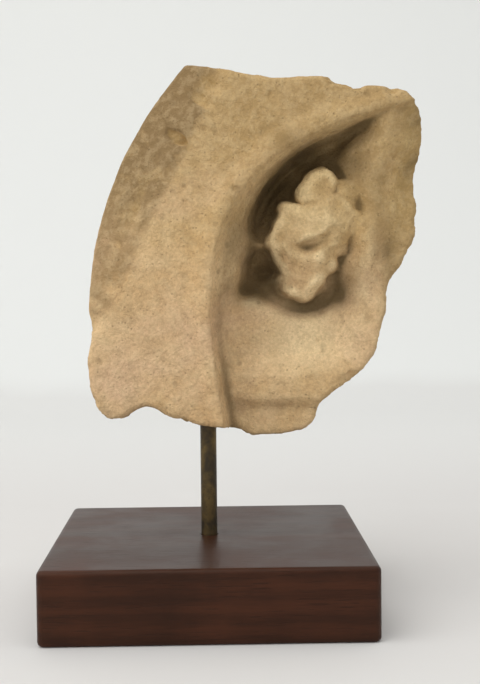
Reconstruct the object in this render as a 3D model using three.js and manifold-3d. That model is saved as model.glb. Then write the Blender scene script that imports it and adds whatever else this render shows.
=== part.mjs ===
// A broken fragment of an Ionic capital's volute, held by a thin rod on a wooden display block.
// Millimetres, +Z up. The carved face looks along -Y. The origin is at the centre of the block's
// underside, under the rod.
import * as THREE from 'three';
import { mergeVertices } from 'three/addons/utils/BufferGeometryUtils.js';
import Module from 'manifold-3d';

const wasm = await Module();
wasm.setup();

// ---- driving dimensions -------------------------------------------------------------------------
const CLEARANCE = 0.3;

const BLOCK_WIDTH = 114;
const BLOCK_HEIGHT = 25.5;
const BLOCK_EASING = 1.8;
const BLOCK_CORNER = 2.5;

const ROD_RADIUS = 3;
const ROD_TOP = 92;
const ROD_TIP = 1;
const BLOCK_BORE_DEPTH = 16;
const ROD_SIDES = 32;

const STONE_HALF_DEPTH = 25;
const STONE_CENTRE = { x: 16, z: 130 };

// The long left flank of the scroll is one arc.
const FLANK = { x: 82.3, z: 110, radius: 124, from: 135.8, to: 180 };

// The middle of the volute, and the inner arris of the outer band that winds round it.
const MIDDLE = { x: 36, z: 127 };
const ARRIS = { nearest: 33, bearing: 163, openingUp: 0.565, openingDown: 0.75, farthest: 66 };

// The wall inside the arris: a sloping shelf, then a drop, which a bridge of stone interrupts once.
const WALL = { upper: 12.5, lower: 13, upperReach: 7, lowerReach: 4, drop: 14 };
const SHELF = { wide: 12.3, narrow: 5.9, below: 2.2 };
const BRIDGE = { bearing: 160, height: 0.6, spread: 11.5 };
const DEEPEST = 21;

// The channel that winds in round the eye, and the drilled hole at its lowest place.
const CHANNEL = { inner: 16.2, spread: 38, winding: 52, startAngle: 60, halfWidth: 3.9, opening: 2.4 };
const CHANNEL_DEPTH = { upper: 5, lower: 5 };
const DRILL_HOLES = [
  { x: 21.8, z: 120.2, rx: 5.6, rz: 6.4, height: 7 },
  { x: 15.4, z: 116.6, rx: 4, rz: 3.2, height: 5 },
];

// The worn eye, its backing and the nub above it.
const KNOBS = [
  { x: 37.6, z: 135, rx: 13.2, rz: 9.4, depth: 8.2, crown: 0.8 },
  { x: 36.6, z: 127.5, rx: 10.8, rz: 8.6, depth: 6.6, crown: 1.6 },
  { x: 35.6, z: 120.8, rx: 7.4, rz: 8.4, depth: 7, crown: 2.2 },
  { x: 40, z: 152.2, rx: 6.4, rz: 7.4, depth: 5, crown: 2 },
  { x: 50, z: 150, rx: 6, rz: 6.8, depth: 8.6, crown: 1.6 },
  { x: 46.6, z: 133.6, rx: 5.6, rz: 6, depth: 7.6, crown: 1.2 },
];
const KNOB_DROP = 16;

// The last turn, which curls over the eye from the right: its middle line and its half widths.
const LAST_TURN = [
  { x: 28, z: 129.5, half: 3.4 },
  { x: 29, z: 136.6, half: 5 },
  { x: 33.4, z: 141.2, half: 6.2 },
  { x: 41, z: 141.4, half: 6.2 },
  { x: 48, z: 142.8, half: 7 },
];
const LAST_TURN_DEPTH = 4.6;

// The hollows left between the eye and the last turn.
const HOLLOWS = [
  { x: 36, z: 131.9, rx: 8, rz: 2.1, height: 2.8 },
  { x: 48, z: 124, rx: 3.4, rz: 5, height: 2 },
];

// The flat breaks across the boss: nothing on it stands prouder than these leaning planes.
const BREAKS = [
  { x: 30.6, z: 142, depth: 4.6, leanX: -0.34, leanZ: 0.34 },
  { x: 42, z: 141, depth: 4.8, leanX: 0.1, leanZ: 0.16 },
  { x: 41, z: 154.4, depth: 5, leanX: -0.04, leanZ: 0.46 },
  { x: 38.4, z: 150, depth: 5.4, leanX: -0.42, leanZ: -0.08 },
  { x: 36, z: 137, depth: 5, leanX: 0.02, leanZ: -0.16 },
  { x: 31, z: 125, depth: 6.8, leanX: -0.36, leanZ: -0.22 },
  { x: 39, z: 124, depth: 6.9, leanX: 0.4, leanZ: -0.2 },
];

// The lowest turn: a bowl that rises towards the viewer as it goes down.
const BOWL = { deep: 18, rise: 13.5, from: 110, to: 84, tilt: 0.13, ledge: 3.2 };

// The broken ridge right of the eye leans from its foot up to the top right corner.
const RIDGE = { footX: 55.4, footZ: 103, lean: 0.125, depth: 5.5, rounding: 4, slope: 0.78 };
const POCKET = { x: 66.5, z: 131, rx: 4.6, rz: 6, height: 2.4 };

// The chamfer down the left flank runs from its lower end to its upper end, cut back at a slope.
const CHAMFER = { low: [-42, 95], high: [4, 187], slope: 31 };

// The working grid of the carved face: rings inside the arris, the reach of those outside it, and sectors.
const INNER_RINGS = 26;
const OUTER_REACHES = [0, 4.5, 9, 35, 62, 90];
const SECTORS = 96;

// ---- helpers ------------------------------------------------------------------------------------

/** Smooth step from 0 at `from` to 1 at `to`. */
function ramp(from, to, value) {
  const t = THREE.MathUtils.clamp((value - from) / (to - from), 0, 1);
  return t * t * (3 - 2 * t);
}

/** Smallest of two depths, rounded where they cross. */
function softMin(a, b, rounding) {
  const overlap = Math.max(rounding - Math.abs(a - b), 0) / rounding;
  return Math.min(a, b) - overlap * overlap * rounding / 4;
}

/** Height of a rounded swelling, or depth of a dent, at a place. */
function dome(x, z, spot) {
  return spot.height * Math.exp(-(((x - spot.x) / spot.rx) ** 2) - ((z - spot.z) / spot.rz) ** 2);
}

/** A closed solid from a geometry whose shared corners are merged. */
function solidOf(geometry) {
  const bare = geometry.clone();
  bare.deleteAttribute('normal');
  bare.deleteAttribute('uv');
  const merged = mergeVertices(bare, 1e-3);
  const corners = merged.index.array;
  const kept = [];
  for (let i = 0; i < corners.length; i += 3) {
    const [a, b, c] = [corners[i], corners[i + 1], corners[i + 2]];
    if (a !== b && b !== c && c !== a) {
      kept.push(a, b, c);
    }
  }
  const vertProperties = new Float32Array(merged.attributes.position.array);
  return new wasm.Manifold(new wasm.Mesh({ numProp: 3, vertProperties, triVerts: new Uint32Array(kept) }));
}

/** A three.js geometry from a closed solid. */
function geometryOf(solid) {
  const mesh = solid.getMesh();
  const geometry = new THREE.BufferGeometry();
  geometry.setAttribute('position', new THREE.BufferAttribute(new Float32Array(mesh.vertProperties), 3));
  geometry.setIndex(new THREE.BufferAttribute(new Uint32Array(mesh.triVerts), 1));
  geometry.computeVertexNormals();
  return geometry;
}

/** An upright cylinder between two heights on the rod's axis. */
function uprightCylinder(radius, bottom, top, sides) {
  const geometry = new THREE.CylinderGeometry(radius, radius, top - bottom, sides);
  geometry.rotateX(Math.PI / 2);
  geometry.translate(0, 0, (top + bottom) / 2);
  return geometry;
}

// ---- the carved face ----------------------------------------------------------------------------

/** Bearing of a place from the middle, in degrees from 0 to 360, anticlockwise from the right. */
function bearingOf(x, z) {
  const angle = THREE.MathUtils.radToDeg(Math.atan2(z - MIDDLE.z, x - MIDDLE.x));
  return THREE.MathUtils.euclideanModulo(angle, 360);
}

/** Distance from the middle to the band's inner arris, at a bearing in degrees from 0 to 360. */
function arrisRadius(bearing) {
  const away = THREE.MathUtils.euclideanModulo(bearing - ARRIS.bearing + 180, 360) - 180;
  const opening = away > 0 ? ARRIS.openingDown : ARRIS.openingUp;
  const turned = THREE.MathUtils.degToRad(Math.min(opening * Math.abs(away), 85));
  return ARRIS.nearest / Math.cos(turned);
}

/** Depth of the wall inside the arris. */
function wallDepth(inside, bearing) {
  const below = Math.max(ramp(185, 215, bearing), 1 - ramp(25, 60, bearing));
  const slope = WALL.upper + (WALL.lower - WALL.upper) * below;
  const reach = WALL.upperReach + (WALL.lowerReach - WALL.upperReach) * below;
  const widening = (SHELF.wide - SHELF.narrow) * ramp(78, 162, bearing);
  const shelf = SHELF.narrow + widening + SHELF.below * ramp(160, 176, bearing);
  const bridge = 1 - BRIDGE.height * Math.exp(-(((bearing - BRIDGE.bearing) / BRIDGE.spread) ** 2));
  const upperEnd = 0.22 + 0.78 * ramp(54, 116, bearing);
  const drop = WALL.drop * bridge * upperEnd * ramp(-6.5, 3.5, inside - shelf) * (1 - below);
  return slope * (1 - Math.exp(-inside / reach)) + drop;
}

/** Extra depth of the channel that winds in round the eye. */
function channelDepth(radius, bearing) {
  const turn = THREE.MathUtils.euclideanModulo(bearing - CHANNEL.startAngle, 360);
  const windingIn = CHANNEL.spread * Math.exp(-turn / CHANNEL.winding) - 1.2 * ramp(215, 270, turn);
  const middle = CHANNEL.inner + windingIn;
  const upper = CHANNEL_DEPTH.upper * ramp(-2, 12, turn) * (1 - ramp(70, 110, turn));
  const fading = 1 + 0.2 * ramp(215, 240, turn) - 0.65 * ramp(250, 305, turn);
  const lower = CHANNEL_DEPTH.lower * fading * ramp(130, 165, turn) * (1 - ramp(310, 335, turn));
  const halfWidth = CHANNEL.halfWidth + CHANNEL.opening * ramp(225, 275, turn);
  return (upper + lower) * Math.exp(-(((radius - middle) / halfWidth) ** 2));
}

/** Depth of a lump whose sides fall steeply, at a distance in shares of its half width. */
function lumpDepth(out, depth, crown, drop) {
  return depth + crown * Math.min(out, 2) ** 2 + drop * ramp(0.7, 1.9, out);
}

/** Depth of the last turn, which curls over the eye. */
function lastTurnDepth(x, z) {
  let depth = Infinity;
  for (let i = 1; i < LAST_TURN.length; i += 1) {
    const a = LAST_TURN[i - 1];
    const b = LAST_TURN[i];
    const along = (x - a.x) * (b.x - a.x) + (z - a.z) * (b.z - a.z);
    const share = THREE.MathUtils.clamp(along / ((b.x - a.x) ** 2 + (b.z - a.z) ** 2), 0, 1);
    const gap = Math.hypot(x - a.x - share * (b.x - a.x), z - a.z - share * (b.z - a.z));
    const out = gap / (a.half + share * (b.half - a.half));
    depth = Math.min(depth, lumpDepth(out, LAST_TURN_DEPTH, 1.6, KNOB_DROP - 1));
  }
  return depth;
}

/** Depth of the worn eye with the last turn and the nub above it, all broken back to a few planes. */
function bossDepth(evenX, evenZ) {
  const x = evenX + Math.sin(evenZ / 2.6 + 1);
  const z = evenZ + 0.8 * Math.sin(evenX / 2.9 + 2);
  let depth = lastTurnDepth(x, z);
  for (const knob of KNOBS) {
    const out = Math.hypot((x - knob.x) / knob.rx, (z - knob.z) / knob.rz);
    depth = softMin(depth, lumpDepth(out, knob.depth, knob.crown, KNOB_DROP), 3.6);
  }
  for (const hollow of HOLLOWS) {
    depth += dome(x, z, hollow);
  }
  for (const flat of BREAKS) {
    const plane = flat.depth + flat.leanX * (x - flat.x) + flat.leanZ * (z - flat.z);
    depth = -softMin(-depth, -plane, 1);
  }
  return depth;
}

/** Distance right of the broken ridge's line. */
function rightOfRidge(x, z) {
  return x - RIDGE.footX - RIDGE.lean * (z - RIDGE.footZ);
}

/** Depth of the lowest turn. */
function bowlDepth(x, z) {
  const hollow = BOWL.deep - BOWL.rise * (1 - ramp(BOWL.to, BOWL.from, z));
  const tilt = BOWL.tilt * Math.max(-rightOfRidge(x, z), 0);
  const ledge = BOWL.ledge * (1 - ramp(73, 79, z)) * (1 - ramp(38, 50, x));
  return hollow + tilt + ledge;
}

/** Depth of the broken right-hand ridge, which falls away from the viewer on both sides. */
function brokenRightDepth(x, z) {
  const ragged = 1.3 * Math.sin(z / 5.3) + 0.9 * Math.sin(z / 2.9 + 1);
  const off = rightOfRidge(x, z) - ragged;
  const rounded = Math.hypot(off, RIDGE.rounding);
  const right = (rounded + off) / 2;
  const left = (rounded - off) / 2;
  const upperEnd = 4.6 * ramp(150, 182, z);
  const slope = RIDGE.slope * ramp(96, 118, z) * (1 - 0.5 * ramp(160, 182, z));
  const fall = 0.32 * left + (0.05 - 0.018 * ramp(145, 170, z)) * left * left;
  return RIDGE.depth - upperEnd + slope * right + fall + dome(x, z, POCKET);
}

/** Depth inside the arris: the wall, then whatever stands in the recess, then the drilled cuts. */
function recessDepth(x, z, inside) {
  const radius = Math.hypot(x - MIDDLE.x, z - MIDDLE.z);
  const bearing = bearingOf(x, z);
  let floor = DEEPEST;
  for (const depth of [bossDepth(x, z), bowlDepth(x, z), brokenRightDepth(x, z)]) {
    floor = softMin(floor, depth, 3);
  }
  const drilled = DRILL_HOLES.reduce((sum, hole) => sum + dome(x, z, hole), 0);
  const cut = channelDepth(radius, bearing) * ramp(1, 4, inside) + drilled * ramp(0, 3, inside);
  return softMin(softMin(floor, wallDepth(inside, bearing), 2) + cut, DEEPEST, 6);
}

/** Depth of the outer band: a raised fillet along the arris, then a shallow hollow. */
function bandDepth(outside) {
  return 1.5 * ramp(3.5, 9, outside);
}

/** Depth of the carved face behind its front plane. */
function faceDepth(x, z) {
  const inside = arrisRadius(bearingOf(x, z)) - Math.hypot(x - MIDDLE.x, z - MIDDLE.z);
  return inside > 0 ? Math.max(recessDepth(x, z, inside), 0) : bandDepth(-inside);
}

/** A block whose front is the carved face, on rings that follow the arris. */
function carvedFaceSolid() {
  const profile = [];
  const lastRing = INNER_RINGS + OUTER_REACHES.length - 1;
  for (let ring = 0; ring <= lastRing; ring += 1) {
    profile.push(new THREE.Vector2(ring, -1));
  }
  profile.push(new THREE.Vector2(lastRing, 1), new THREE.Vector2(0, 1));
  const geometry = new THREE.LatheGeometry(profile, SECTORS);
  const position = geometry.attributes.position;
  for (let i = 0; i < position.count; i += 1) {
    const ring = Math.hypot(position.getX(i), position.getZ(i));
    const angle = Math.atan2(position.getZ(i), position.getX(i));
    const arris = Math.min(arrisRadius(THREE.MathUtils.radToDeg(angle)), ARRIS.farthest);
    const insideShare = Math.min(ring / INNER_RINGS, 1);
    const radius = arris * insideShare + OUTER_REACHES[Math.max(Math.round(ring) - INNER_RINGS, 0)];
    const x = MIDDLE.x + radius * Math.cos(angle);
    const z = MIDDLE.z + radius * Math.sin(angle);
    const front = position.getY(i) < 0;
    const y = front ? faceDepth(x, z) - STONE_HALF_DEPTH : STONE_HALF_DEPTH * 3;
    position.setXYZ(i, x, y, z);
  }
  return solidOf(geometry);
}

// ---- the broken outline -------------------------------------------------------------------------

/** Points for a run of the broken edge, given as x, z pairs. */
function run(...pairs) {
  return pairs.map(([x, z]) => new THREE.Vector2(x, z));
}

/** The outline of the fragment, seen from the front and drawn in x and z. */
function outlineShape() {
  const shape = new THREE.Shape();
  const start = THREE.MathUtils.degToRad(FLANK.from);
  const end = THREE.MathUtils.degToRad(FLANK.to);
  shape.absarc(FLANK.x, FLANK.z, FLANK.radius, start, end, false);
  // worn left side and lower left lobe
  shape.splineThru(run([-40.8, 102], [-42.2, 92], [-40.6, 79], [-36, 72], [-30, 72]));
  // the arched chip over the left of the rod, then down to the foot
  shape.splineThru(run([-21.6, 76], [-12, 71.4], [-3, 68.9], [8, 67.4], [16, 64.1]));
  shape.splineThru(run([25, 64.5], [34, 66.2], [38.8, 70.2]));
  // lower right break, bitten inwards
  shape.splineThru(run([41.2, 76.9], [51.6, 84.6], [59.6, 94], [63.7, 107.6]));
  shape.splineThru(run([65.4, 116.8], [70.6, 126.4], [75.4, 136], [75.6, 147]));
  shape.splineThru(run([75.4, 157], [78, 170], [76.6, 179.4], [70.6, 186.2]));
  // flat bed along the top
  shape.splineThru(run([61, 188], [50, 188.2], [41, 191.4], [24, 191], [11, 193.2]));
  shape.lineTo(0, 195.6);
  return shape;
}

/** How far a side has broken back from the outline, at a share of the way from front to back. */
function breakBack(bearing, share) {
  const towardsRight = Math.max(Math.cos(bearing), 0);
  const towardsLeft = Math.max(Math.cos(bearing - 2.75), 0);
  const towardsFoot = Math.max(-Math.sin(bearing), 0);
  const behind = THREE.MathUtils.clamp((share - 0.3) / 0.7, 0, 1);
  const fracture = (13 * towardsRight + 7 * towardsFoot) * behind ** 1.5;
  const hollowFlank = 5 * towardsLeft ** 2 * Math.sin(Math.PI * behind);
  const uneven = 1.6 * Math.sin(5 * bearing + 4 * share) * Math.sin(Math.PI * behind * 0.9) ** 2;
  return fracture + hollowFlank + uneven * towardsRight;
}

/** The fragment's body before its face is carved, with hollow flank and broken sides. */
function outlineSolid() {
  const depth = STONE_HALF_DEPTH * 2;
  const geometry = new THREE.ExtrudeGeometry(outlineShape(), {
    depth, steps: 7, bevelEnabled: false, curveSegments: 4,
  });
  geometry.rotateX(Math.PI / 2);
  geometry.translate(0, STONE_HALF_DEPTH, 0);
  const position = geometry.attributes.position;
  for (let i = 0; i < position.count; i += 1) {
    const x = position.getX(i);
    const z = position.getZ(i);
    const dx = x - STONE_CENTRE.x;
    const dz = z - STONE_CENTRE.z;
    const share = (position.getY(i) + STONE_HALF_DEPTH) / depth;
    const kept = 1 - breakBack(Math.atan2(dz, dx), share) / Math.hypot(dx, dz);
    position.setXYZ(i, STONE_CENTRE.x + dx * kept, position.getY(i), STONE_CENTRE.z + dz * kept);
  }
  return solidOf(geometry);
}

/** The rough break across the back, as a block that keeps what stands in front of it. */
function backSolid() {
  const size = 180;
  const cells = 18;
  const geometry = new THREE.BoxGeometry(size, 2, size, cells, 1, cells);
  const position = geometry.attributes.position;
  for (let i = 0; i < position.count; i += 1) {
    const x = position.getX(i) + STONE_CENTRE.x;
    const z = position.getZ(i) + STONE_CENTRE.z;
    const across = x - STONE_CENTRE.x;
    const wave = 1.7 * Math.sin(x / 13 + 1) * Math.cos(z / 17) + 0.8 * Math.sin(x / 6 - z / 8);
    const back = STONE_HALF_DEPTH - 2.6 + wave - 0.0016 * across * across;
    position.setXYZ(i, x, position.getY(i) > 0 ? back : -STONE_HALF_DEPTH * 3, z);
  }
  return solidOf(geometry);
}

/** A cutting block that takes the long chamfer off the left flank. */
function chamferSolid() {
  const [lowX, lowZ] = CHAMFER.low;
  const [highX, highZ] = CHAMFER.high;
  const size = 240;
  const geometry = new THREE.BoxGeometry(size, size, size);
  geometry.translate(-size / 2, -size / 2, 0);
  geometry.rotateZ(-THREE.MathUtils.degToRad(CHAMFER.slope));
  geometry.rotateY(Math.atan2(highX - lowX, highZ - lowZ));
  geometry.translate(lowX, -STONE_HALF_DEPTH, lowZ);
  return solidOf(geometry);
}

/** The carved stone. */
function fragmentGeometry() {
  const bore = solidOf(uprightCylinder(ROD_RADIUS + CLEARANCE, BLOCK_HEIGHT, ROD_TOP + CLEARANCE, ROD_SIDES));
  const stone = outlineSolid()
    .intersect(carvedFaceSolid())
    .intersect(backSolid())
    .subtract(chamferSolid())
    .subtract(bore);
  return geometryOf(stone);
}

// ---- the stand ----------------------------------------------------------------------------------

/** The wooden block, with eased edges and a blind bore for the rod. */
function blockGeometry() {
  const half = BLOCK_WIDTH / 2 - BLOCK_EASING;
  const shape = new THREE.Shape();
  const corner = BLOCK_CORNER;
  shape.absarc(half - corner, half - corner, corner, 0, Math.PI / 2, false);
  shape.absarc(corner - half, half - corner, corner, Math.PI / 2, Math.PI, false);
  shape.absarc(corner - half, corner - half, corner, Math.PI, Math.PI * 1.5, false);
  shape.absarc(half - corner, corner - half, corner, Math.PI * 1.5, Math.PI * 2, false);
  const geometry = new THREE.ExtrudeGeometry(shape, {
    depth: BLOCK_HEIGHT - 2 * BLOCK_EASING,
    bevelEnabled: true,
    bevelThickness: BLOCK_EASING,
    bevelSize: BLOCK_EASING,
    bevelSegments: 4,
    curveSegments: 5,
  });
  geometry.translate(0, 0, BLOCK_EASING);
  const boreBottom = BLOCK_HEIGHT - BLOCK_BORE_DEPTH;
  const bore = uprightCylinder(ROD_RADIUS + CLEARANCE, boreBottom, BLOCK_HEIGHT + 5, ROD_SIDES);
  return geometryOf(solidOf(geometry).subtract(solidOf(bore)));
}

/** The rod, turned with a short chamfer at each end. */
function rodGeometry() {
  const bottom = BLOCK_HEIGHT - BLOCK_BORE_DEPTH + CLEARANCE;
  const profile = [
    new THREE.Vector2(0, bottom),
    new THREE.Vector2(ROD_RADIUS - ROD_TIP, bottom),
    new THREE.Vector2(ROD_RADIUS, bottom + ROD_TIP),
    new THREE.Vector2(ROD_RADIUS, ROD_TOP - ROD_TIP),
    new THREE.Vector2(ROD_RADIUS - ROD_TIP, ROD_TOP),
    new THREE.Vector2(0, ROD_TOP),
  ];
  const geometry = new THREE.LatheGeometry(profile, ROD_SIDES);
  geometry.rotateX(Math.PI / 2);
  return geometryOf(solidOf(geometry));
}

// ---- the object ---------------------------------------------------------------------------------

/** A named mesh in its own material. */
function piece(name, geometry, finish) {
  const mesh = new THREE.Mesh(geometry, new THREE.MeshStandardMaterial(finish));
  mesh.name = name;
  return mesh;
}

const group = new THREE.Group();
group.add(
  piece('capital_fragment', fragmentGeometry(), { color: 0xbd9d74, roughness: 0.92, metalness: 0 }),
  piece('mount_rod', rodGeometry(), { color: 0x5a4b32, roughness: 0.45, metalness: 0.9 }),
  piece('base_block', blockGeometry(), { color: 0x42271f, roughness: 0.38, metalness: 0 }),
);

export default group;
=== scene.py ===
"""A carved piece of an Ionic volute, held by a bronze rod on a stained wooden block.

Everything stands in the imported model's frame, in metres: +Z up, the carved face towards -Y, and the
origin at the centre of the block's underside, under the rod. The stone's outline and relief are
worked out in millimetres, as a mason would set them out, and scaled once.
"""
import logging
import math
from collections.abc import Callable, Sequence
from dataclasses import dataclass, field
from enum import Enum

import bpy
import numpy as np
from mathutils import Euler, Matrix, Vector


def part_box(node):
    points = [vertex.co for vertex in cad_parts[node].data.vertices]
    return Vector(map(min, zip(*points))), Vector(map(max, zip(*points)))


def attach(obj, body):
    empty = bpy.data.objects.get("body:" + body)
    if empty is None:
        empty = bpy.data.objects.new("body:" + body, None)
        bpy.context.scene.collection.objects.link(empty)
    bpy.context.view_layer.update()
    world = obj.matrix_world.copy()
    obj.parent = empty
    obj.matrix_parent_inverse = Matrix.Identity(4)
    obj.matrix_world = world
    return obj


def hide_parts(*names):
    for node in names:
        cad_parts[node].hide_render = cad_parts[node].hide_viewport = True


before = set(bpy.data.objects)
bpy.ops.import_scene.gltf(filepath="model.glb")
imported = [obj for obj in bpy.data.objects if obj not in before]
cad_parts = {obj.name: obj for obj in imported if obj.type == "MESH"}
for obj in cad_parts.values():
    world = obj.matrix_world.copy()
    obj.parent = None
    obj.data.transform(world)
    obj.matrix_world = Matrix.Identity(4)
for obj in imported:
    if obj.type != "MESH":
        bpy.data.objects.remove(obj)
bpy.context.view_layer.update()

MM = 0.001
TINY = 1e-9
LEVEL = math.inf
CROWN_REACH = 2.0
MIX_COLOUR_INPUTS = (0, 6, 7)
MIX_COLOUR_OUTPUT = 2
WHOLE = (0.0, 1.0)
FALLING = (1.0, 0.0)
LUMP_SPAN = (0.28, 0.72)
LUMP_RISE = (-0.5, 0.5)
PIT_SPAN = (0.18, 0.42)
PIT_CHOICE = (0.7, 0.9)
SPECK_SPAN = (0.1, 0.45)
PORE_SPAN = (0.6, 0.7)
GRAIN_STRETCH = (0.09, 1.0, 1.0)
PORE_STRETCH = (0.05, 1.0, 1.0)
PITH_OFFSET = (0.0, 0.035, 0.075)
LOG = logging.getLogger("ionic_fragment")

Array = np.ndarray
Pair = tuple[float, float]
Point = tuple[float, float, float]
Colour = tuple[float, float, float]
Sockets = bpy.types.bpy_prop_collection
Inputs = dict[int | str, object]


class Node(str, Enum):
    """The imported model's nodes."""

    FRAGMENT = "capital_fragment"
    ROD = "mount_rod"
    BLOCK = "base_block"


class Slot(str, Enum):
    """The record's material slots."""

    STONE = "stone"
    BRONZE = "bronze"
    WOOD = "wood"


class Mark(str, Enum):
    """The stone mesh's attributes, which its weathering and its finish read."""

    BROKEN = "broken"
    # hollow: soil together with painted shade
    HOLLOW = "hollow"
    STAIN = "stain"
    # wear and light: pale wear together with painted highlights
    WEAR_AND_LIGHT = "exposed"


# ---- small rules for shapes ----------------------------------------------------------------------


def ramp(low: float, high: float, value: Array) -> Array:
    """Step smoothly from 0 to 1.

    Args:
        low: The value at which the step starts.
        high: The value at which it has reached 1. It may be less than low.
        value: The values to step.

    Returns:
        The step's height at each value.
    """
    share = np.clip((value - low) / (high - low), 0.0, 1.0)
    return share * share * (3.0 - 2.0 * share)


def soft_min(first: Array, second: Array, rounding: float) -> Array:
    """Take the smaller of two fields, rounded where they cross.

    Args:
        first: One field.
        second: The other field.
        rounding: How far from the crossing the rounding reaches.

    Returns:
        The blended field.
    """
    overlap = np.maximum(rounding - np.abs(first - second), 0.0) / rounding
    return np.minimum(first, second) - overlap * overlap * rounding / 4.0


def soft_max(first: Array, second: Array, rounding: float) -> Array:
    """Take the larger of two fields, rounded where they cross.

    Args:
        first: One field.
        second: The other field.
        rounding: How far from the crossing the rounding reaches.

    Returns:
        The blended field.
    """
    return -soft_min(-first, -second, rounding)


def smooth_run(points: Sequence[Pair], steps: int) -> list[Pair]:
    """Draw a smooth curve through points, as a Catmull-Rom spline.

    Args:
        points: The points that the curve passes, its start first.
        steps: How many pieces each stretch between two points has.

    Returns:
        The curve's points after its start.
    """
    known = np.array([points[0], *points, points[-1]], dtype=float)
    drawn: list[Pair] = []
    for before, start, end, after in zip(known, known[1:], known[2:], known[3:]):
        for step in range(1, steps + 1):
            t = step / steps
            leaving = (end - before) * 0.5
            arriving = (after - start) * 0.5
            place = (
                (2.0 * start - 2.0 * end + leaving + arriving) * t**3
                + (-3.0 * start + 3.0 * end - 2.0 * leaving - arriving) * t**2
                + leaving * t
                + start
            )
            drawn.append((float(place[0]), float(place[1])))
    return drawn


def worn_lump(out: Array, depth: float, crown: float, drop: float, edge: Pair) -> Array:
    """Shape a worn lump: a rounded crown, then a steep fall to the bottom of the recess.

    Args:
        out: How far out from the lump's middle places lie, as a share of its size.
        depth: The depth of its middle behind the front plane.
        crown: How much its crown falls away.
        drop: How far its sides fall.
        edge: The range of out in which the sides fall.

    Returns:
        The lump's depth behind the front plane.
    """
    return depth + crown * np.minimum(out, CROWN_REACH) ** 2 + drop * ramp(*edge, out)


@dataclass(frozen=True)
class Dome:
    """A rounded swelling of the carved face, or with a negative height a dent."""

    x: float
    z: float
    across: float
    upright: float
    height: float

    def at(self, x: Array, z: Array) -> Array:
        """Give the swelling's height at places on the face, in millimetres."""
        return self.height * np.exp(-(((x - self.x) / self.across) ** 2) - ((z - self.z) / self.upright) ** 2)


@dataclass(frozen=True)
class Ripple:
    """A slanting wave across the face: its height, how far it runs each way, and where it starts."""

    height: float
    run_x: float
    run_z: float
    start: float = 0.0

    def at(self, x: Array, z: Array) -> Array:
        """Give the wave's height at places on the face, in millimetres."""
        return self.height * np.sin(x / self.run_x + z / self.run_z + self.start)


@dataclass(frozen=True)
class Knob:
    """A worn lump that stands up steeply from the bottom of the recess."""

    x: float
    z: float
    across: float
    upright: float
    depth: float
    crown: float = 2.0
    drop: float = 18.0
    edge: Pair = (0.85, 1.6)

    def at(self, x: Array, z: Array) -> Array:
        """Give the lump's depth behind the front plane at places on the face."""
        out = np.hypot((x - self.x) / self.across, (z - self.z) / self.upright)
        return worn_lump(out, self.depth, self.crown, self.drop, self.edge)


@dataclass(frozen=True)
class Break:
    """A flat break: nothing near stands prouder than this leaning plane."""

    x: float
    z: float
    depth: float
    lean_x: float
    lean_z: float

    def at(self, x: Array, z: Array) -> Array:
        """Give the plane's depth behind the front plane at places on the face."""
        return self.depth + self.lean_x * (x - self.x) + self.lean_z * (z - self.z)


@dataclass(frozen=True)
class Chip:
    """A round bite out of the stone: its centre, with y back from the front plane, and its radius."""

    x: float
    y: float
    z: float
    radius: float


# ---- the stone's outline and face ----------------------------------------------------------------


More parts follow.
